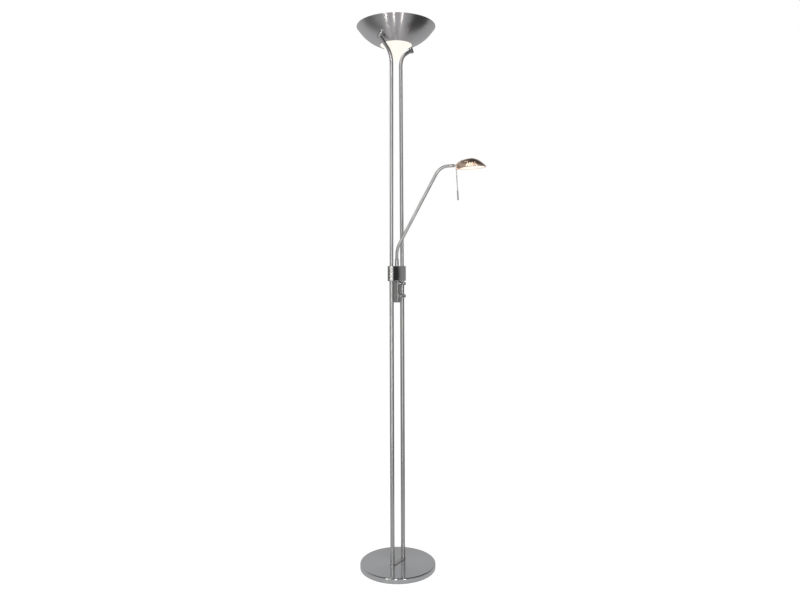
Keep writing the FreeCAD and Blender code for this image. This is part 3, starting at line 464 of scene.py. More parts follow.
def foam(name, finish):
    material, wire, shader = newMaterial(name)
    place = objectPlace(wire)
    cells = place.node("TexVoronoi", {"feature": "DISTANCE_TO_EDGE"}, {"Vector": place, "Scale": 900},
                       out="Distance")
    tone = mixColour(cells, finish["dark"], finish["light"])
    setShader(wire, shader, {
        "Base Color": tone, "Roughness": 0.9, "Normal": bump(cells, 0.4, 0.0003),
    })
    return material


def unglazedCeramic(name, finish):
    material, wire, shader = newMaterial(name)
    place = objectPlace(wire)
    specks = noise(place, 1200, 3)
    stain = noise(place, 60, 4)
    tone = mixColour(stain, finish["dark"], finish["light"])
    setShader(wire, shader, {
        "Base Color": tone, "Roughness": 0.6 + (specks - 0.5) * 0.3, "Normal": bump(specks, 0.15, 0.0001),
    })
    return material


def litGlass(name, finish):
    # opal or frosted glass with a lamp behind it
    material, wire, shader = newMaterial(name)
    place = objectPlace(wire)
    cloud = noise(place, finish["cloudScale"], 3)
    glow = mixColour(cloud, finish["glowDark"], finish["glowLight"])
    setShader(wire, shader, {
        "Base Color": mixColour(cloud, finish["dark"], finish["light"]),
        "Roughness": finish["roughness"] + (cloud - 0.5) * 0.1,
        "Emission Color": glow, "Emission Strength": finish["strength"],
        "Normal": bump(noise(place, 900, 2), 0.05, 0.00005),
    })
    return material


def clearGlass(name, finish):
    material, wire, shader = newMaterial(name)
    place = objectPlace(wire)
    film = noise(place, 25, 4)
    setShader(wire, shader, {
        "Base Color": mixColour(film, finish["dark"], finish["light"]),
        "Roughness": finish["roughness"] + film * 0.03, "Transmission Weight": 1.0, "IOR": 1.47,
        "Alpha": finish["alpha"] + film * 0.02,
        "Emission Color": finish["glow"], "Emission Strength": finish["strength"],
    })
    return material


def circuitBoard(name, finish):
    material, wire, shader = newMaterial(name)
    place = objectPlace(wire)
    tracks = place.node("TexBrick", {}, {"Vector": place, "Scale": 260.0, "Mortar Size": 0.03,
                                         "Color1": finish["dark"], "Color2": finish["dark"],
                                         "Mortar": finish["light"]})
    setShader(wire, shader, {"Base Color": tracks, "Roughness": 0.45, "Coat Weight": 0.4})
    return material


def glowingWire(name, finish):
    material, wire, shader = newMaterial(name)
    place = objectPlace(wire)
    coil = place.node("TexWave", {"bands_direction": "X"}, {"Vector": place, "Scale": 900.0}, out="Fac")
    setShader(wire, shader, {
        "Base Color": grey(0.3), "Metallic": 1.0, "Roughness": 0.4 + coil * 0.1,
        "Emission Color": mixColour(coil, finish["glowDark"], finish["glowLight"]),
        "Emission Strength": finish["strength"],
    })
    return material


finishes = {
    "base_steel": (roundBrushedSteel, {
        "dark": (0.62, 0.63, 0.645, 1), "light": (0.7, 0.71, 0.725, 1), "roughness": 0.21,
        "anisotropy": 0.8, "linesPerMetre": 2600}),
    "bowl_steel": (roundBrushedSteel, {
        "dark": (0.62, 0.605, 0.62, 1), "light": (0.74, 0.725, 0.74, 1), "roughness": 0.23,
        "anisotropy": 1.0, "linesPerMetre": 2600}),
    "pole_steel": (nickel, {"dark": grey(0.54), "light": grey(0.64), "roughness": 0.3}),
    # the shade's warm tan tint is a painted reflection: it stands in for warm room and lamp light mirrored in
    # plain satin nickel
    "shade_metal": (nickel, {
        "dark": (0.84, 0.63, 0.5, 1), "light": (0.93, 0.75, 0.62, 1), "roughness": 0.29}),
    "polished": (polishedMetal, {"dark": grey(0.6), "light": grey(0.7), "roughness": 0.055}),
    "zinc": (zincPlate, {
        "dark": (0.5, 0.5, 0.47, 1), "light": (0.68, 0.68, 0.66, 1), "roughness": 0.32}),
    "housing_paint": (paintedMetal, {
        "dark": grey(0.55), "light": grey(0.62), "roughness": 0.3, "metallic": 0.85}),
    "black_plastic": (mouldedPlastic, {"dark": grey(0.012), "light": grey(0.03), "roughness": 0.45}),
    "grip_plastic": (mouldedPlastic, {"dark": grey(0.42), "light": grey(0.52), "roughness": 0.4}),
    "lead_jacket": (mouldedPlastic, {"dark": grey(0.6), "light": grey(0.75), "roughness": 0.5}),
    "silicone": (mouldedPlastic, {
        "dark": (0.55, 0.5, 0.45, 1), "light": (0.7, 0.66, 0.6, 1), "roughness": 0.6}),
    "iron": (castIron, {"dark": (0.05, 0.05, 0.052, 1), "light": (0.16, 0.07, 0.035, 1)}),
    "pad": (foam, {"dark": grey(0.015), "light": grey(0.05)}),
    "ceramic": (unglazedCeramic, {"dark": (0.6, 0.57, 0.5, 1), "light": (0.85, 0.83, 0.78, 1)}),
    "opal_glass": (litGlass, {
        "dark": (0.2, 0.19, 0.17, 1), "light": (0.26, 0.25, 0.23, 1), "roughness": 0.2,
        "glowDark": (1, 0.94, 0.85, 1), "glowLight": (1, 0.97, 0.91, 1), "strength": 0.9,
        "cloudScale": 30}),
    "frosted_glass": (litGlass, {
        "dark": (0.3, 0.28, 0.25, 1), "light": (0.38, 0.36, 0.33, 1), "roughness": 0.4,
        "glowDark": (1, 0.87, 0.7, 1), "glowLight": (1, 0.97, 0.91, 1), "strength": 0.92,
        "cloudScale": 75}),
    "quartz": (clearGlass, {
        "dark": (0.92, 0.92, 0.9, 1), "light": (1, 1, 1, 1), "roughness": 0.02, "alpha": 0.35,
        "glow": (1, 0.9, 0.7, 1), "strength": 0.6}),
    "clear_glass": (clearGlass, {
        "dark": (0.9, 0.96, 0.93, 1), "light": (0.97, 1, 0.98, 1), "roughness": 0.02, "alpha": 0.3,
        "glow": (0, 0, 0, 1), "strength": 0.0}),
    "board": (circuitBoard, {"dark": (0.01, 0.09, 0.03, 1), "light": (0.45, 0.3, 0.12, 1)}),
    "glow": (glowingWire, {
        "glowDark": (1, 0.62, 0.28, 1), "glowLight": (1, 0.85, 0.6, 1), "strength": 12.0}),
}

materials = {slot: make(slot + "_finish", finish) for slot, (make, finish) in finishes.items()}
slotOf = {part["node"]: part["material_slot"] for part in frame["record"]["subparts"]}
for name, node in nodes.items():
    node.data.materials.clear()
    node.data.materials.append(materials[slotOf[name]])
print("finishes made:", len(materials))


base = {"edge": 0.004, "wall": 0.001, "centre": 0.003, "flatEnd": 0.0006, "footEdge": 0.0003,
        "inletRadius": 0.005, "inletDepth": 0.03, "segments": 192}


def makeBaseCover():
    low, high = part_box("base_cover")
    radius, top, edge, wall = high.x, high.z, base["edge"], base["wall"]
    corner = (radius - edge, top - edge)
    foot = base["footEdge"]
    rings = [(base["centre"], top), (radius * 0.5, top), (radius - edge - base["flatEnd"], top)]
    rings += arcRings(corner, edge, 90, 0, 10)
    rings += [(radius, low.z + foot), (radius - foot, low.z), (radius - wall, low.z)]
    rings += arcRings(corner, edge - wall, 0, 90, 6)
    rings += [(base["centre"], top - wall)]
    cover = turnPiece(rings, base["segments"])
    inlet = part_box("cable_gland")
    level = (inlet[0].z + inlet[1].z) / 2
    drillAlongY(cover, base["inletRadius"], base["inletDepth"], (0, radius, level), 48)
    finishPiece(cover, "brushedBaseCover", "stand", "base_steel", ["base_cover"])


footPlate = {"spacing": 0.062, "chamfer": 0.0007, "segments": 72}


def makeFootPlate():
    low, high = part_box("foot_plate")
    plate = stadiumPiece(footPlate["spacing"], high.y, low.z, high.z, footPlate["segments"])
    bevelRing(plate, high.z, footPlate["chamfer"], 3)
    finishPiece(plate, "footPlate", "stand", "pole_steel", ["foot_plate"])


poles = {
    "spacing": 0.062, "lowerRadius": 0.007, "lowerWall": 0.001, "upperRadius": 0.006, "upperWall": 0.0009,
    "neckSpacing": 0.054, "neckRise": 0.7011, "flare": 58.0, "bend": 0.055, "socket": 0.02,
}


def poleRoute():
    # centreline of the +X upper pole, from its socket to the bowl's post
    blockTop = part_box("clamp_block")[1].z
    corner = Vector((poles["neckSpacing"] / 2, 0, blockTop + poles["neckRise"]))
    reach = bowlPoint(postAngle(), -bowlPosts["standoff"])[0]
    rise = (reach - corner.x) / math.tan(math.radians(poles["flare"]))
    return [Vector((poles["spacing"] / 2, 0, blockTop - poles["socket"])), corner,
            Vector((reach, 0, corner.z + rise))]


def makePoles():
    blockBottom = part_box("clamp_block")[0].z
    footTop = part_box("foot_plate")[1].z
    for side, word in ((-1, "left"), (1, "right")):
        x = side * poles["spacing"] / 2
        route = [Vector((x, 0, footTop)), Vector((x, 0, blockBottom + poles["socket"]))]
        lower = tubeAlong(route, [], poles["lowerRadius"], poles["lowerWall"])
        finishPiece(lower, word + "LowerPole", "stand", "pole_steel", ["lower_pole_" + word])
        route = [Vector((side * p.x, 0, p.z)) for p in poleRoute()]
        upper = tubeAlong(route, [poles["bend"]], poles["upperRadius"], poles["upperWall"])
        finishPiece(upper, word + "UpperPole", "stand", "pole_steel", ["upper_pole_" + word])


clampBlock = {
    "spacing": 0.062, "topRounding": 0.001, "bottomRounding": 0.0025, "grubHole": 0.0021,
    "grubDepth": 0.008, "segments": 96,
}


def makeClampBlock():
    low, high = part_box("clamp_block")
    block = stadiumPiece(clampBlock["spacing"], high.y, low.z, high.z, clampBlock["segments"])
    bevelRing(block, high.z, clampBlock["topRounding"], 4)
    bevelRing(block, low.z, clampBlock["bottomRounding"], 6)
    x = clampBlock["spacing"] / 2
    inset = poles["socket"] / 2
    for z in (low.z + inset, high.z - inset):
        for side in (-1, 1):
            drillAlongY(block, clampBlock["grubHole"], clampBlock["grubDepth"], (side * x, high.y, z), 32)
    finishPiece(block, "clampBlock", "stand", "polished", ["clamp_block"])


housing = {
    "width": 0.018, "edge": 0.0015, "bottomEdge": 0.0008, "coverDepth": 0.003, "rim": 0.0002,
    "rearArea": 0.0005, "flange": 0.002, "flangeEdge": 0.0004,
}


def makeHousing():
    low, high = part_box("housing_shell")
    height = high.z - low.z
    depth = high.y - low.y
    case = blankBlock((0, 0, low.z + height / 2), (housing["width"], depth, height))
    editMesh(case)
    pick(case, "EDGE", lambda e: abs(e.verts[0].co.z - e.verts[1].co.z) > height / 2)
    bpy.ops.mesh.bevel(offset=housing["edge"], segments=5, affect="EDGES")
    pick(case, "EDGE", lambda e: all(v.co.z < low.z + 1e-5 for v in e.verts) and len(e.link_faces) == 2)
    bpy.ops.mesh.bevel(offset=housing["bottomEdge"], segments=3, affect="EDGES")
    pick(case, "FACE", lambda f: f.normal.y > 0.9 and f.calc_area() > housing["rearArea"])
    bpy.ops.mesh.inset(thickness=housing["rim"])
    bpy.ops.mesh.extrude_region_move(TRANSFORM_OT_translate={"value": (0, -housing["coverDepth"], 0)})
    leaveEdit()
    flange = blankBlock((0, 0, high.z - housing["flange"] / 2),
                        (high.x - low.x, depth - housing["edge"] * 2, housing["flange"]))
    roundEdges(flange, housing["flangeEdge"])
    case = joinPieces([case, flange])
    finishPiece(case, "dimmerHousing", "stand", "housing_paint", ["housing_shell"], smooth=40)


knobShape = {
    "bore": 0.0025, "neck": 0.004, "neckLength": 0.008, "flare": 0.0008, "waist": 0.0009,
    "waistTaper": 0.0004, "head": 0.0055, "headLength": 0.0115, "shoulder": 0.0002, "dome": 0.002,
    "footRise": 0.0009, "edgeRise": 0.0012, "topCentre": 0.0012, "flutes": 12, "flute": 0.00065,
    "fluteProud": 0.00025, "fluteMargin": 0.004, "pointer": 0.0007, "pointerDepth": 0.0012,
}


def facingFront(y, z):
    # turns a piece built along +Z to face -Y, its +Y side up
    return Matrix.Translation((0, y, z)) @ Matrix.Rotation(math.radians(90), 4, "X")


def makeKnobs():
    neck, head, dome = knobShape["neck"], knobShape["head"], knobShape["dome"]
    start = knobShape["neckLength"]
    end = start + knobShape["headLength"]
    flare = knobShape["flare"]
    rings = [(knobShape["bore"], 0), (neck + flare, 0)]
    for k in range(1, 9):
        share = k / 8
        waist = knobShape["waist"] + knobShape["waistTaper"] * (1 - share)
        rings.append((neck + flare * (1 - share) - waist * math.sin(math.pi * share), start * share))
    rings += [(head - knobShape["shoulder"], start + knobShape["footRise"])]
    rings += [(head, start + knobShape["edgeRise"])]
    rings += arcRings((head - dome, end - dome), dome, 0, 80, 8)
    rings += [(knobShape["topCentre"], end)]
    knob = turnPiece(rings, 96)
    cutters = []
    for k in range(knobShape["flutes"]):
        angle = math.radians(360 / knobShape["flutes"] * (k + 0.5))
        place = Vector((math.cos(angle), math.sin(angle), 0)) * (head + knobShape["fluteProud"])
        clearSelection()
        bpy.ops.mesh.primitive_uv_sphere_add(segments=16, ring_count=12, radius=knobShape["flute"],
                                             location=place + Vector((0, 0, (start + end) / 2)))
        cutter = bpy.context.object
        reach = (knobShape["headLength"] - knobShape["fluteMargin"]) / 2
        cutter.scale = (1, 1, reach / knobShape["flute"])
        placeInMesh(cutter)
        cutters.append(cutter)
    cutAway(knob, joinPieces(cutters))
    size = (knobShape["pointer"], head * 0.6, knobShape["pointerDepth"])
    groove = blankBlock((0, head * 0.4, end), size)
    roundEdges(groove, 0.0002, 2)
    cutAway(knob, groove)
    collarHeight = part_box("knob_collars")[0].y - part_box("housing_shell")[0].y
    for word, node in (("main", "knob_main"), ("reading", "knob_reading")):
        low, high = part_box(node)
        place = facingFront(high.y, (low.z + high.z) / 2)
        twin = copyPiece(knob, place)
        finishPiece(twin, word + "Knob", "knob_" + word + "_unit", "polished", [node], smooth=40)
    bpy.data.objects.remove(knob)
    print("knobs made, collars", round(-collarHeight * 1000, 2), "mm high")


collars = {"radius": 0.0075, "bore": 0.0056, "rounding": 0.0012, "boreRounding": 0.0004}


def makeCollars():
    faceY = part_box("housing_shell")[0].y
    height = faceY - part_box("knob_collars")[0].y
    radius, rounding = collars["radius"], collars["rounding"]
    bore, small = collars["bore"], collars["boreRounding"]
    rings = [(bore, 0), (radius, 0)]
    rings += arcRings((radius - rounding, height - rounding), rounding, 0, 90, 6)
    rings += arcRings((bore + small, height - small), small, 90, 180, 4)
    rings += [(bore, 0)]
    made = []
    for node in ("knob_main", "knob_reading"):
        low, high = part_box(node)
        ring = turnPiece(rings, 96, closed=True)
        ring.matrix_world = facingFront(faceY, (low.z + high.z) / 2)
        placeInMesh(ring)
        made.append(ring)
    finishPiece(joinPieces(made), "knobCollars", "stand", "polished", ["knob_collars"])


arm = {
    "radius": 0.005, "wall": 0.001, "azimuth": 18.0, "cornerRise": 0.057, "elevation": 61.0,
    "slope": 0.3067, "tip": 0.0435, "lowerBend": 0.08, "upperBend": 0.048, "spigot": 0.024,
}


def armHeading():
    angle = math.radians(arm["azimuth"])
    return Vector((math.sin(angle), -math.cos(angle), 0))


def armRoute():
    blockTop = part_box("clamp_block")[1].z
    rise = math.radians(arm["elevation"])
    foot = Vector((0, 0, blockTop - arm["spigot"]))
    corner = Vector((0, 0, blockTop + arm["cornerRise"]))
    elbow = corner + Vector((0, 0, math.sin(rise) * arm["slope"]))
    elbow += armHeading() * math.cos(rise) * arm["slope"]
    return [foot, corner, elbow, elbow + armHeading() * arm["tip"]]


def makeArm():
    tube = tubeAlong(armRoute(), [arm["lowerBend"], arm["upperBend"]], arm["radius"], arm["wall"])
    finishPiece(tube, "readingArmTube", "reading_arm", "pole_steel", ["arm_tube"])


bush = {"chamfer": 0.0006, "bore": 0.00505, "groove": 0.0004, "seat": 0.002, "grooveShare": 0.62,
        "ringRounding": 0.0008, "ringEdge": 0.0003}


def makeBush():
    low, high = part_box("arm_bush")
    r, c, g = high.x, bush["chamfer"], bush["groove"]
    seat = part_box("clamp_block")[1].z - bush["seat"]
    band = seat + (high.z - seat) * bush["grooveShare"]
    rings = [(bush["bore"], seat), (r, seat)]
    rings += [(r, band - g), (r - g, band), (r - g, band + g), (r, band + g * 2)]
    rings += [(r, high.z - c), (r - c * 0.3, high.z - c * 0.3), (r - c, high.z)]
    rings += [(bush["bore"], high.z), (bush["bore"], seat)]
    finishPiece(turnPiece(rings, 96, closed=True), "armBush", "stand", "polished", ["arm_bush"])
    low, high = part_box("arm_thrust_ring")
    r, c = high.x, bush["ringRounding"]
    rings = [(arm["radius"], low.z), (r - bush["ringEdge"], low.z), (r, low.z + bush["ringEdge"])]
    rings += arcRings((r - c, high.z - c), c, 0, 90, 6)
    rings += [(arm["radius"], high.z), (arm["radius"], low.z)]
    finishPiece(turnPiece(rings, 96, closed=True), "armThrustRing", "reading_arm", "polished",
                ["arm_thrust_ring"])


head = {"lift": 3.0}


def headPlace():
    # the head's own frame at its tilt pin: X forward along the head, Y sideways, Z up
    tilt = next(joint for joint in frame["joints"] if joint["name"] == "head_tilt")
    side = -Vector(tilt["axis"]).normalized()
    heading = armHeading()
    if heading.cross(side).z < 0:
        side = -side
    lift = math.radians(head["lift"])
    forward = heading * math.cos(lift) + Vector((0, 0, 1)) * math.sin(lift)
    up = forward.cross(side)
    turn = Matrix((forward, side, up)).transposed().to_4x4()
    return Matrix.Translation(Vector(tilt["pos_m"])) @ turn


def placeOnHead(piece, local=Matrix()):
    piece.matrix_world = headPlace() @ local @ piece.matrix_world
    placeInMesh(piece)
    return piece


shade = {
    "start": 0.008, "middle": 0.054, "rear": 0.048, "front": 0.043, "halfWidth": 0.035, "nose": 0.0968,
    "crown": 0.049, "crownHeight": 0.031, "crownRear": 0.079, "crownFront": 0.0495, "wall": 0.001,
    "drop": 0.012, "sections": 30, "arch": 96,
    "slots": 4, "slotFirst": 0.041, "slotPitch": 0.0075, "slotWidth": 0.003, "slotLength": 0.014,
    "slotSlant": 32.0, "slotHeight": 0.008, "slotDepth": 0.05, "slotSegments": 32, "spine": 0.005,
}


def shadeSection(a):
    length = shade["rear"] if a < shade["middle"] else shade["front"]
    width = shade["halfWidth"] * math.sqrt(max(0.0, 1 - ((a - shade["middle"]) / length) ** 2))
    length = shade["crownRear"] if a < shade["crown"] else shade["crownFront"]
    height = shade["crownHeight"] * (1 - ((a - shade["crown"]) / length) ** 2)
    return width, height


def makeShade():
    floor = -shade["drop"]
    start, end = shade["start"], shade["nose"]
    clearSelection()
    bpy.ops.mesh.primitive_circle_add(vertices=shade["arch"], radius=1, location=(start, 0, floor),
                                      rotation=(0, math.radians(90), 0))
    shell = bpy.context.object
    placeInMesh(shell)
    editMesh(shell)
    pick(shell, "VERT", lambda v: v.co.z < floor - 1e-4)
    bpy.ops.mesh.delete(type="VERT")
    bpy.ops.mesh.select_mode(type="EDGE")
    bpy.ops.mesh.select_all(action="SELECT")
    width, height = shadeSection(start)
    bpy.ops.transform.resize(value=(1, width, height), center_override=(start, 0, floor))
    last = start
    for k in range(1, shade["sections"] + 1):
        a = start + (end - start) * math.sin(math.pi / 2 * k / shade["sections"])
        bpy.ops.mesh.extrude_edges_move(TRANSFORM_OT_translate={"value": (a - last, 0, 0)})
        nextWidth, nextHeight = shadeSection(a)
        grow = (1, nextWidth / width, nextHeight / height)
        bpy.ops.transform.resize(value=grow, center_override=(a, 0, floor))
        width, height, last = nextWidth, nextHeight, a
    bpy.ops.mesh.edge_face_add()
    bpy.ops.mesh.select_all(action="SELECT")
    bpy.ops.mesh.normals_make_consistent(inside=False)
    leaveEdit()
    addModifier(shell, "SOLIDIFY", thickness=shade["wall"], offset=-1, use_even_offset=False)
    for side in (-1, 1):
        upright = Matrix.Rotation(math.radians(90), 4, "Z")
        outward = Matrix.Rotation(math.radians(-90 * side), 4, "X") @ upright
        slant = Matrix.Rotation(math.radians(shade["slotSlant"]), 4, "Y")
        cutters = []
        for k in range(shade["slots"]):
            slot = stadiumPiece(shade["slotLength"] - shade["slotWidth"], shade["slotWidth"] / 2, 0,
                                shade["slotDepth"], shade["slotSegments"])
            place = (shade["slotFirst"] + k * shade["slotPitch"], side * shade["spine"],
                     shade["slotHeight"] - shade["drop"])
            slot.matrix_world = Matrix.Translation(place) @ slant @ outward
            placeInMesh(slot)
            cutters.append(slot)
        cutAway(shell, joinPieces(cutters))
    placeOnHead(shell)
    finishPiece(shell, "slottedShade", "reading_head", "shade_metal", ["reading_shade"], smooth=40)


grip = {"radius": 0.0026, "length": 0.031, "overhang": 0.002, "rounding": 0.001, "rings": 7,
        "groove": 0.00022, "grooveTop": 0.0005, "grooveFloor": 0.0002, "core": 0.0004}
rod = {"radius": 0.0015, "length": 0.100, "seat": 0.0014, "core": 0.0006}


def makeHandle():
    top = -shade["drop"] + rod["seat"]
    core, r, length = rod["core"], rod["radius"], rod["length"]
    stem = turnPiece([(core, 0), (r, 0), (r, length), (core, length)], 32)
    placeOnHead(stem, Matrix.Translation((0, 0, top - rod["length"])))
    finishPiece(stem, "handleRod", "reading_head", "pole_steel", ["handle_rod"])
    r, b = grip["radius"], grip["rounding"]
    rings = [(grip["core"], 0)] + list(arcRings((r - b, b), b, -90, 0, 6))
    deep, lip, floor = r - grip["groove"], grip["grooveTop"], grip["grooveFloor"]
    step = (grip["length"] - b * 2) / (grip["rings"] + 1)
    for k in range(1, grip["rings"] + 1):
        z = b + step * k
        rings += [(r, z - lip), (deep, z - floor), (deep, z + floor), (r, z + lip)]
    rings += list(arcRings((r - b, grip["length"] - b), b, 0, 90, 6)) + [(rod["radius"], grip["length"])]
    sleeve = turnPiece(rings, 48)
    placeOnHead(sleeve, Matrix.Translation((0, 0, top - rod["length"] - grip["overhang"])))
    finishPiece(sleeve, "handleGrip", "reading_head", "grip_plastic", ["handle_grip"])


bowl = {"mouth": 0.053, "rim": 0.130, "depth": 0.061, "sag": 0.009, "wall": 0.001, "bead": 0.0015,
        "beadWrap": 10,  # degrees the bead turns in past each face
        "lip": 0.003,  # radians the rounded mouth reaches past the wall
        "segments": 192, "steps": 14}
bowlPosts = {"contact": 0.087, "radius": 0.0065, "length": 0.020, "standoff": 0.010, "rounding": 0.0015,
             "core": 0.0008, "groove": 0.0005, "grooveInset": 0.0042, "sink": 0.0008}


def bowlArc():
    # centre and radius of the arc of the outer face, mouth at height 0
    run, depth, sag = bowl["rim"] - bowl["mouth"], bowl["depth"], bowl["sag"]
    chord = math.hypot(run, depth)
    radius = (chord ** 2 / 4 + sag ** 2) / (2 * sag)
    middle = (bowl["mouth"] + run / 2, depth / 2)
    return (middle[0] - depth / chord * (radius - sag), middle[1] + run / chord * (radius - sag)), radius


def bowlAngle(radial):
    centre, radius = bowlArc()
    return -math.acos((radial - centre[0]) / radius)


def bowlPoint(angle, depth):
    centre, radius = bowlArc()
    reach = radius - depth
    return centre[0] + reach * math.cos(angle), centre[1] + reach * math.sin(angle)


def postAngle():
    return bowlAngle(bowlPosts["contact"])


def bowlBand(depth, start, end, steps):
    for k in range(steps + 1):
        yield bowlPoint(start + (end - start) * k / steps, depth)


def makeBowl():
    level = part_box("bowl_shell")[0].z
    mouth, rim = bowlAngle(bowl["mouth"]), bowlAngle(bowl["rim"])
    wall, bead = bowl["wall"], bowl["bead"]
    beadX, beadZ = bowlPoint(rim, wall / 2)
    side = math.degrees(rim)
    rings = list(bowlBand(0, mouth, rim, bowl["steps"]))[:-1]
    wrap = bowl["beadWrap"]
    rings += arcRings((beadX, beadZ), bead, side - wrap, side + (180 + wrap), 14)
    rings += list(bowlBand(wall, rim, mouth, bowl["steps"]))[1:]
    rings += list(bowlBand(wall / 2, mouth - bowl["lip"], mouth, 1))[:1] + rings[:1]
    shell = turnPiece([(r, z + level) for r, z in rings], bowl["segments"], closed=True)
    finishPiece(shell, "brushedBowl", "stand", "bowl_steel", ["bowl_shell"], smooth=50)


def makePosts():
    r, b, g = bowlPosts["radius"], bowlPosts["rounding"], bowlPosts["groove"]
    length = bowlPosts["length"] + bowlPosts["sink"]
    core, inset = bowlPosts["core"], bowlPosts["grooveInset"]
    rings = [(core, 0)] + list(arcRings((r - b, b), b, -90, 0, 8))
    for z in (inset, length - inset):
        rings += [(r, z - g), (r - g, z - g * 0.4), (r - g, z + g * 0.4), (r, z + g)]
    rings += [(r, length), (core, length)]
    post = turnPiece(rings, 96)
    angle, level = postAngle(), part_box("bowl_shell")[0].z
    for side, word in ((-1, "left"), (1, "right")):
        x, z = bowlPoint(angle, -bowlPosts["length"])
        twin = copyPiece(post)
        standAlong(twin, (side * x, 0, z + level), (-side * math.cos(angle), 0, -math.sin(angle)))
        finishPiece(twin, word + "BowlPost", "stand", "polished", ["bowl_post_" + word], smooth=45)
    bpy.data.objects.remove(post)


cone = {"wall": 0.003, "clearance": 0.001, "flange": 0.007, "gasket": 0.001, "depth": 0.053,
        "waist": 0.022, "waistDrop": 0.025, "tip": 0.006, "core": 0.0006,
        # shares of the tip's radius, each with its height above the lowest point
        "tipRounding": ((0.93, 0.0032), (0.72, 0.0012), (0.45, 0.0003), (0.15, 0))}


def circleThrough(a, b, c):
    # centre and radius of the circle through three points of a profile
    ax, ay, bx, by, cx, cy = *a, *b, *c
    d = 2 * (ax * (by - cy) + bx * (cy - ay) + cx * (ay - by))
    aa, bb, cc = ax ** 2 + ay ** 2, bx ** 2 + by ** 2, cx ** 2 + cy ** 2
    ux = (aa * (by - cy) + bb * (cy - ay) + cc * (ay - by)) / d
    uy = (aa * (cx - bx) + bb * (ax - cx) + cc * (bx - ax)) / d
    return (ux, uy), math.hypot(ax - ux, ay - uy)


def makeCone():
    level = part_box("bowl_shell")[0].z
    seat = bowl["wall"] + cone["gasket"]
    inner = bowlAngle(bowl["mouth"] - cone["clearance"] / 2)
    outer = bowlAngle(bowl["mouth"] + cone["flange"])
    bend = bowlAngle(bowl["mouth"] + cone["wall"])
    corner = bowlPoint(inner, seat)
    foot = (cone["tip"], -cone["depth"] + cone["tip"] * 0.8)
    centre, radius = circleThrough(corner, (cone["waist"], -cone["waistDrop"]), foot)
    high = math.degrees(math.atan2(corner[1] - centre[1], corner[0] - centre[0])) % 360
    low = math.degrees(math.atan2(foot[1] - centre[1], foot[0] - centre[0])) % 360
    tipZ = -cone["depth"]
    tip = [(foot[0] * share, tipZ + rise) for share, rise in cone["tipRounding"]]
    inside = list(arcRings(centre, radius + cone["wall"], high, low, 20))
    inside = [point for point in inside if point[0] > 0.001]
    rings = tip[::-1] + list(arcRings(centre, radius, low, high, 24))
    rings += list(bowlBand(seat, inner, outer, 4))[1:]
    rings += bowlBand(seat + cone["wall"], outer, bend, 4)
    rings += inside + [(cone["core"], inside[-1][1])]
    funnel = turnPiece([(r, z + level) for r, z in rings], 144)
    finishPiece(funnel, "opalGlassCone", "stand", "opal_glass", ["glass_cone"], smooth=50)


makeBaseCover()
makeFootPlate()
makePoles()
makeClampBlock()
makeHousing()
makeKnobs()
makeCollars()
print("stand made")
makeArm()
makeBush()
makeShade()
makeHandle()
print("reading arm and head made")
makeBowl()
makePosts()
makeCone()
print("bowl made")


studio = {
    "azimuth": -55.5,          # degrees the camera stands from -Y, counted towards +X
    "distance": 2.272,
    "height": 1.003,
    "lens": 30.7,
    "shiftY": -0.0425,
    "yaw": 0.266,
    "roll": -0.20,
    "floorSize": 30.0,
    "roomLevel": 0.46,         # how bright the room is where it shows in the metal
    "underLamp": 1.05,         # the floor close round the lamp, and the ceiling, as parts of that
    "ceiling": 0.12,
}


def around(azimuth, distance, height):
    angle = math.radians(azimuth)
    return Vector((math.sin(angle) * distance, -math.cos(angle) * distance, height))


def addCamera():
    data = bpy.data.cameras.new("studioCamera")
    camera = bpy.data.objects.new("studioCamera", data)
    bpy.context.scene.collection.objects.link(camera)
    data.lens = studio["lens"]
    data.sensor_width = 36
    data.shift_y = studio["shiftY"]
    level = Matrix.Rotation(math.radians(90), 4, "X")
    heading = Matrix.Rotation(math.radians(studio["azimuth"] - studio["yaw"]), 4, "Z")
    lean = Matrix.Rotation(math.radians(studio["roll"]), 4, "Z")
    place = Matrix.Translation(around(studio["azimuth"], studio["distance"], studio["height"]))
    camera.matrix_world = place @ heading @ level @ lean
    bpy.context.scene.camera = camera


# how bright the room is round the lamp: a place on the circle, from straight behind the lamp
# by way of its left, the camera at the middle and its right, and a level
roomLow = [
    (0.00, 1.00), (0.13, 1.00), (0.165, 0.85), (0.21, 0.32), (0.27, 0.32), (0.30, 0.60), (0.37, 0.85),
    (0.44, 0.95), (0.56, 0.95), (0.63, 0.75), (0.68, 0.13), (0.807, 0.08), (0.8095, 0.60), (0.85, 0.85),
    (1.00, 1.00),
]
roomHigh = [
    (0.00, 1.00), (0.15, 1.00), (0.25, 1.00), (0.37, 0.90), (0.44, 0.95), (0.56, 0.80), (0.64, 0.55),
    (0.69, 0.40), (0.82, 0.40), (0.90, 0.75), (1.00, 1.00),
]


def roomSides(place, stops):
    toCamera = around(studio["azimuth"], 1, 0)
    toRight = around(studio["azimuth"] + 90, 1, 0)
    front = place.node("VectorMath", {"operation": "DOT_PRODUCT"}, {0: place, 1: toCamera}, out="Value")
    right = place.node("VectorMath", {"operation": "DOT_PRODUCT"}, {0: place, 1: toRight}, out="Value")
    turn = right.sum("ARCTAN2", right, front) / (2 * math.pi) + 0.5
    return turn.node("ValToRGB", {"stops": [(p, grey(v)) for p, v in stops]}, {0: turn})


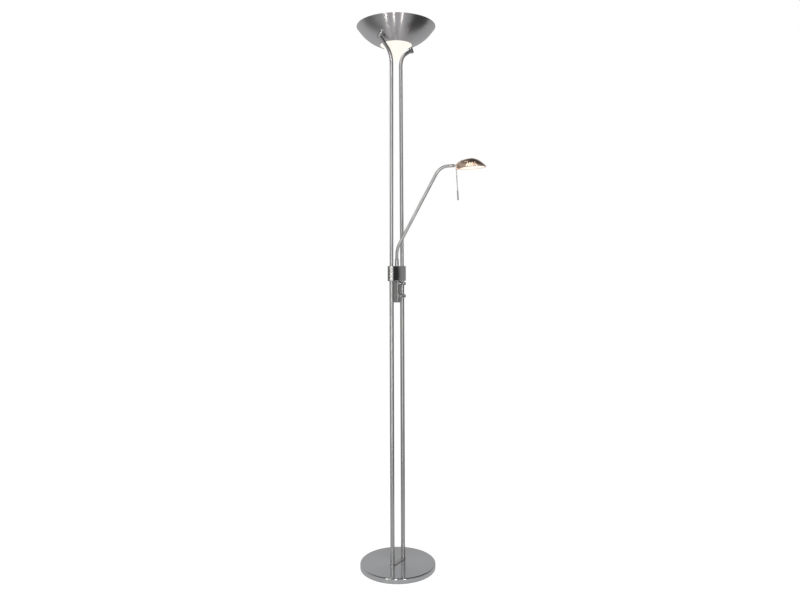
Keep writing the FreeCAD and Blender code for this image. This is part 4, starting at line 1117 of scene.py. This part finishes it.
def addFloor():
    # white paper to the eye, and the grey of the room where the metal mirrors it
    clearSelection()
    bpy.ops.mesh.primitive_circle_add(vertices=64, radius=studio["floorSize"], fill_type="NGON")
    floor = bpy.context.object
    floor.name = "studioFloor"
    material, wire, shader = newMaterial("pale_floor")
    place = objectPlace(wire)
    setShader(wire, shader, {
        "Base Color": mixColour(noise(place, 3, 2), grey(0.5), grey(0.52)), "Roughness": 0.9,
        "Specular IOR Level": 0.1, "Emission Color": grey(1.0), "Emission Strength": 0.9,
    })
    away = place.node("VectorMath", {"operation": "LENGTH"}, {0: place}, out="Value")
    far = away.node("MapRange", {"interpolation_type": "SMOOTHSTEP"}, {0: away, 1: 0.45, 2: 1.05})
    room = mixColour(far, grey(studio["underLamp"]), roomSides(place, roomLow))
    mirrored = wire.node("Emission", values={0: room, 1: studio["roomLevel"]})
    seen = wire.node("LightPath", out="Is Camera Ray")
    shown = Wire(wire.tree, shader.outputs[0])
    surface = wire.node("MixShader", values={0: seen, 1: mirrored, 2: shown})
    output = wire.tree.nodes["Material Output"]
    wire.tree.links.new(surface.socket, output.inputs[0])
    floor.data.materials.append(material)


def addStudioWorld():
    # white behind the lamp for the eye, and a grey room with dark sides and ceiling for the metal
    world = bpy.data.worlds.new("studioWorld")
    world.use_nodes = True
    bpy.context.scene.world = world
    tree = world.node_tree
    wire = Wire(tree)
    direction = wire.node("TexCoord", out="Generated")
    height = split(direction)[2]
    upper = height.node("MapRange", {"interpolation_type": "SMOOTHSTEP"}, {0: height, 1: 0.1, 2: 0.3})
    overhead = height.node("MapRange", {"interpolation_type": "SMOOTHSTEP"}, {0: height, 1: 0.55, 2: 0.8})
    room = mixColour(upper, roomSides(direction, roomLow), roomSides(direction, roomHigh))
    room = mixColour(overhead, room, grey(studio["ceiling"]))
    reflected = wire.node("Background", values={0: room, 1: studio["roomLevel"]})
    backdrop = wire.node("Background", values={0: grey(1.0), 1: 1.0})
    seen = wire.node("LightPath", out="Is Camera Ray")
    surface = wire.node("MixShader", values={0: seen, 1: reflected, 2: backdrop})
    output = tree.nodes.get("World Output") or tree.nodes.new("ShaderNodeOutputWorld")
    tree.links.new(surface.socket, output.inputs[0])


strips = {"offsets": (-32, -6.5, 19.5), "distance": 1.6, "width": 0.055, "height": 2.9, "power": 4.7,
          "colour": (1.0, 0.955, 0.91)}


def addStrip(name, azimuth):
    data = bpy.data.lights.new(name, "AREA")
    data.shape = "RECTANGLE"
    data.size, data.size_y = strips["width"], strips["height"]
    data.energy = strips["power"]
    data.color = strips["colour"]
    light = bpy.data.objects.new(name, data)
    bpy.context.scene.collection.objects.link(light)
    middle = strips["height"] / 2 + 0.05
    light.location = around(azimuth, strips["distance"], middle)
    aim = Vector((0, 0, middle)) - light.location
    light.rotation_euler = aim.to_track_quat("-Z", "Y").to_euler()
    light.visible_camera = False


addCamera()
addFloor()
addStudioWorld()
for k, offset in enumerate(strips["offsets"]):
    addStrip("stripLight" + str(k + 1), studio["azimuth"] + offset)
bpy.context.scene.view_settings.view_transform = "Standard"
print("studio set")
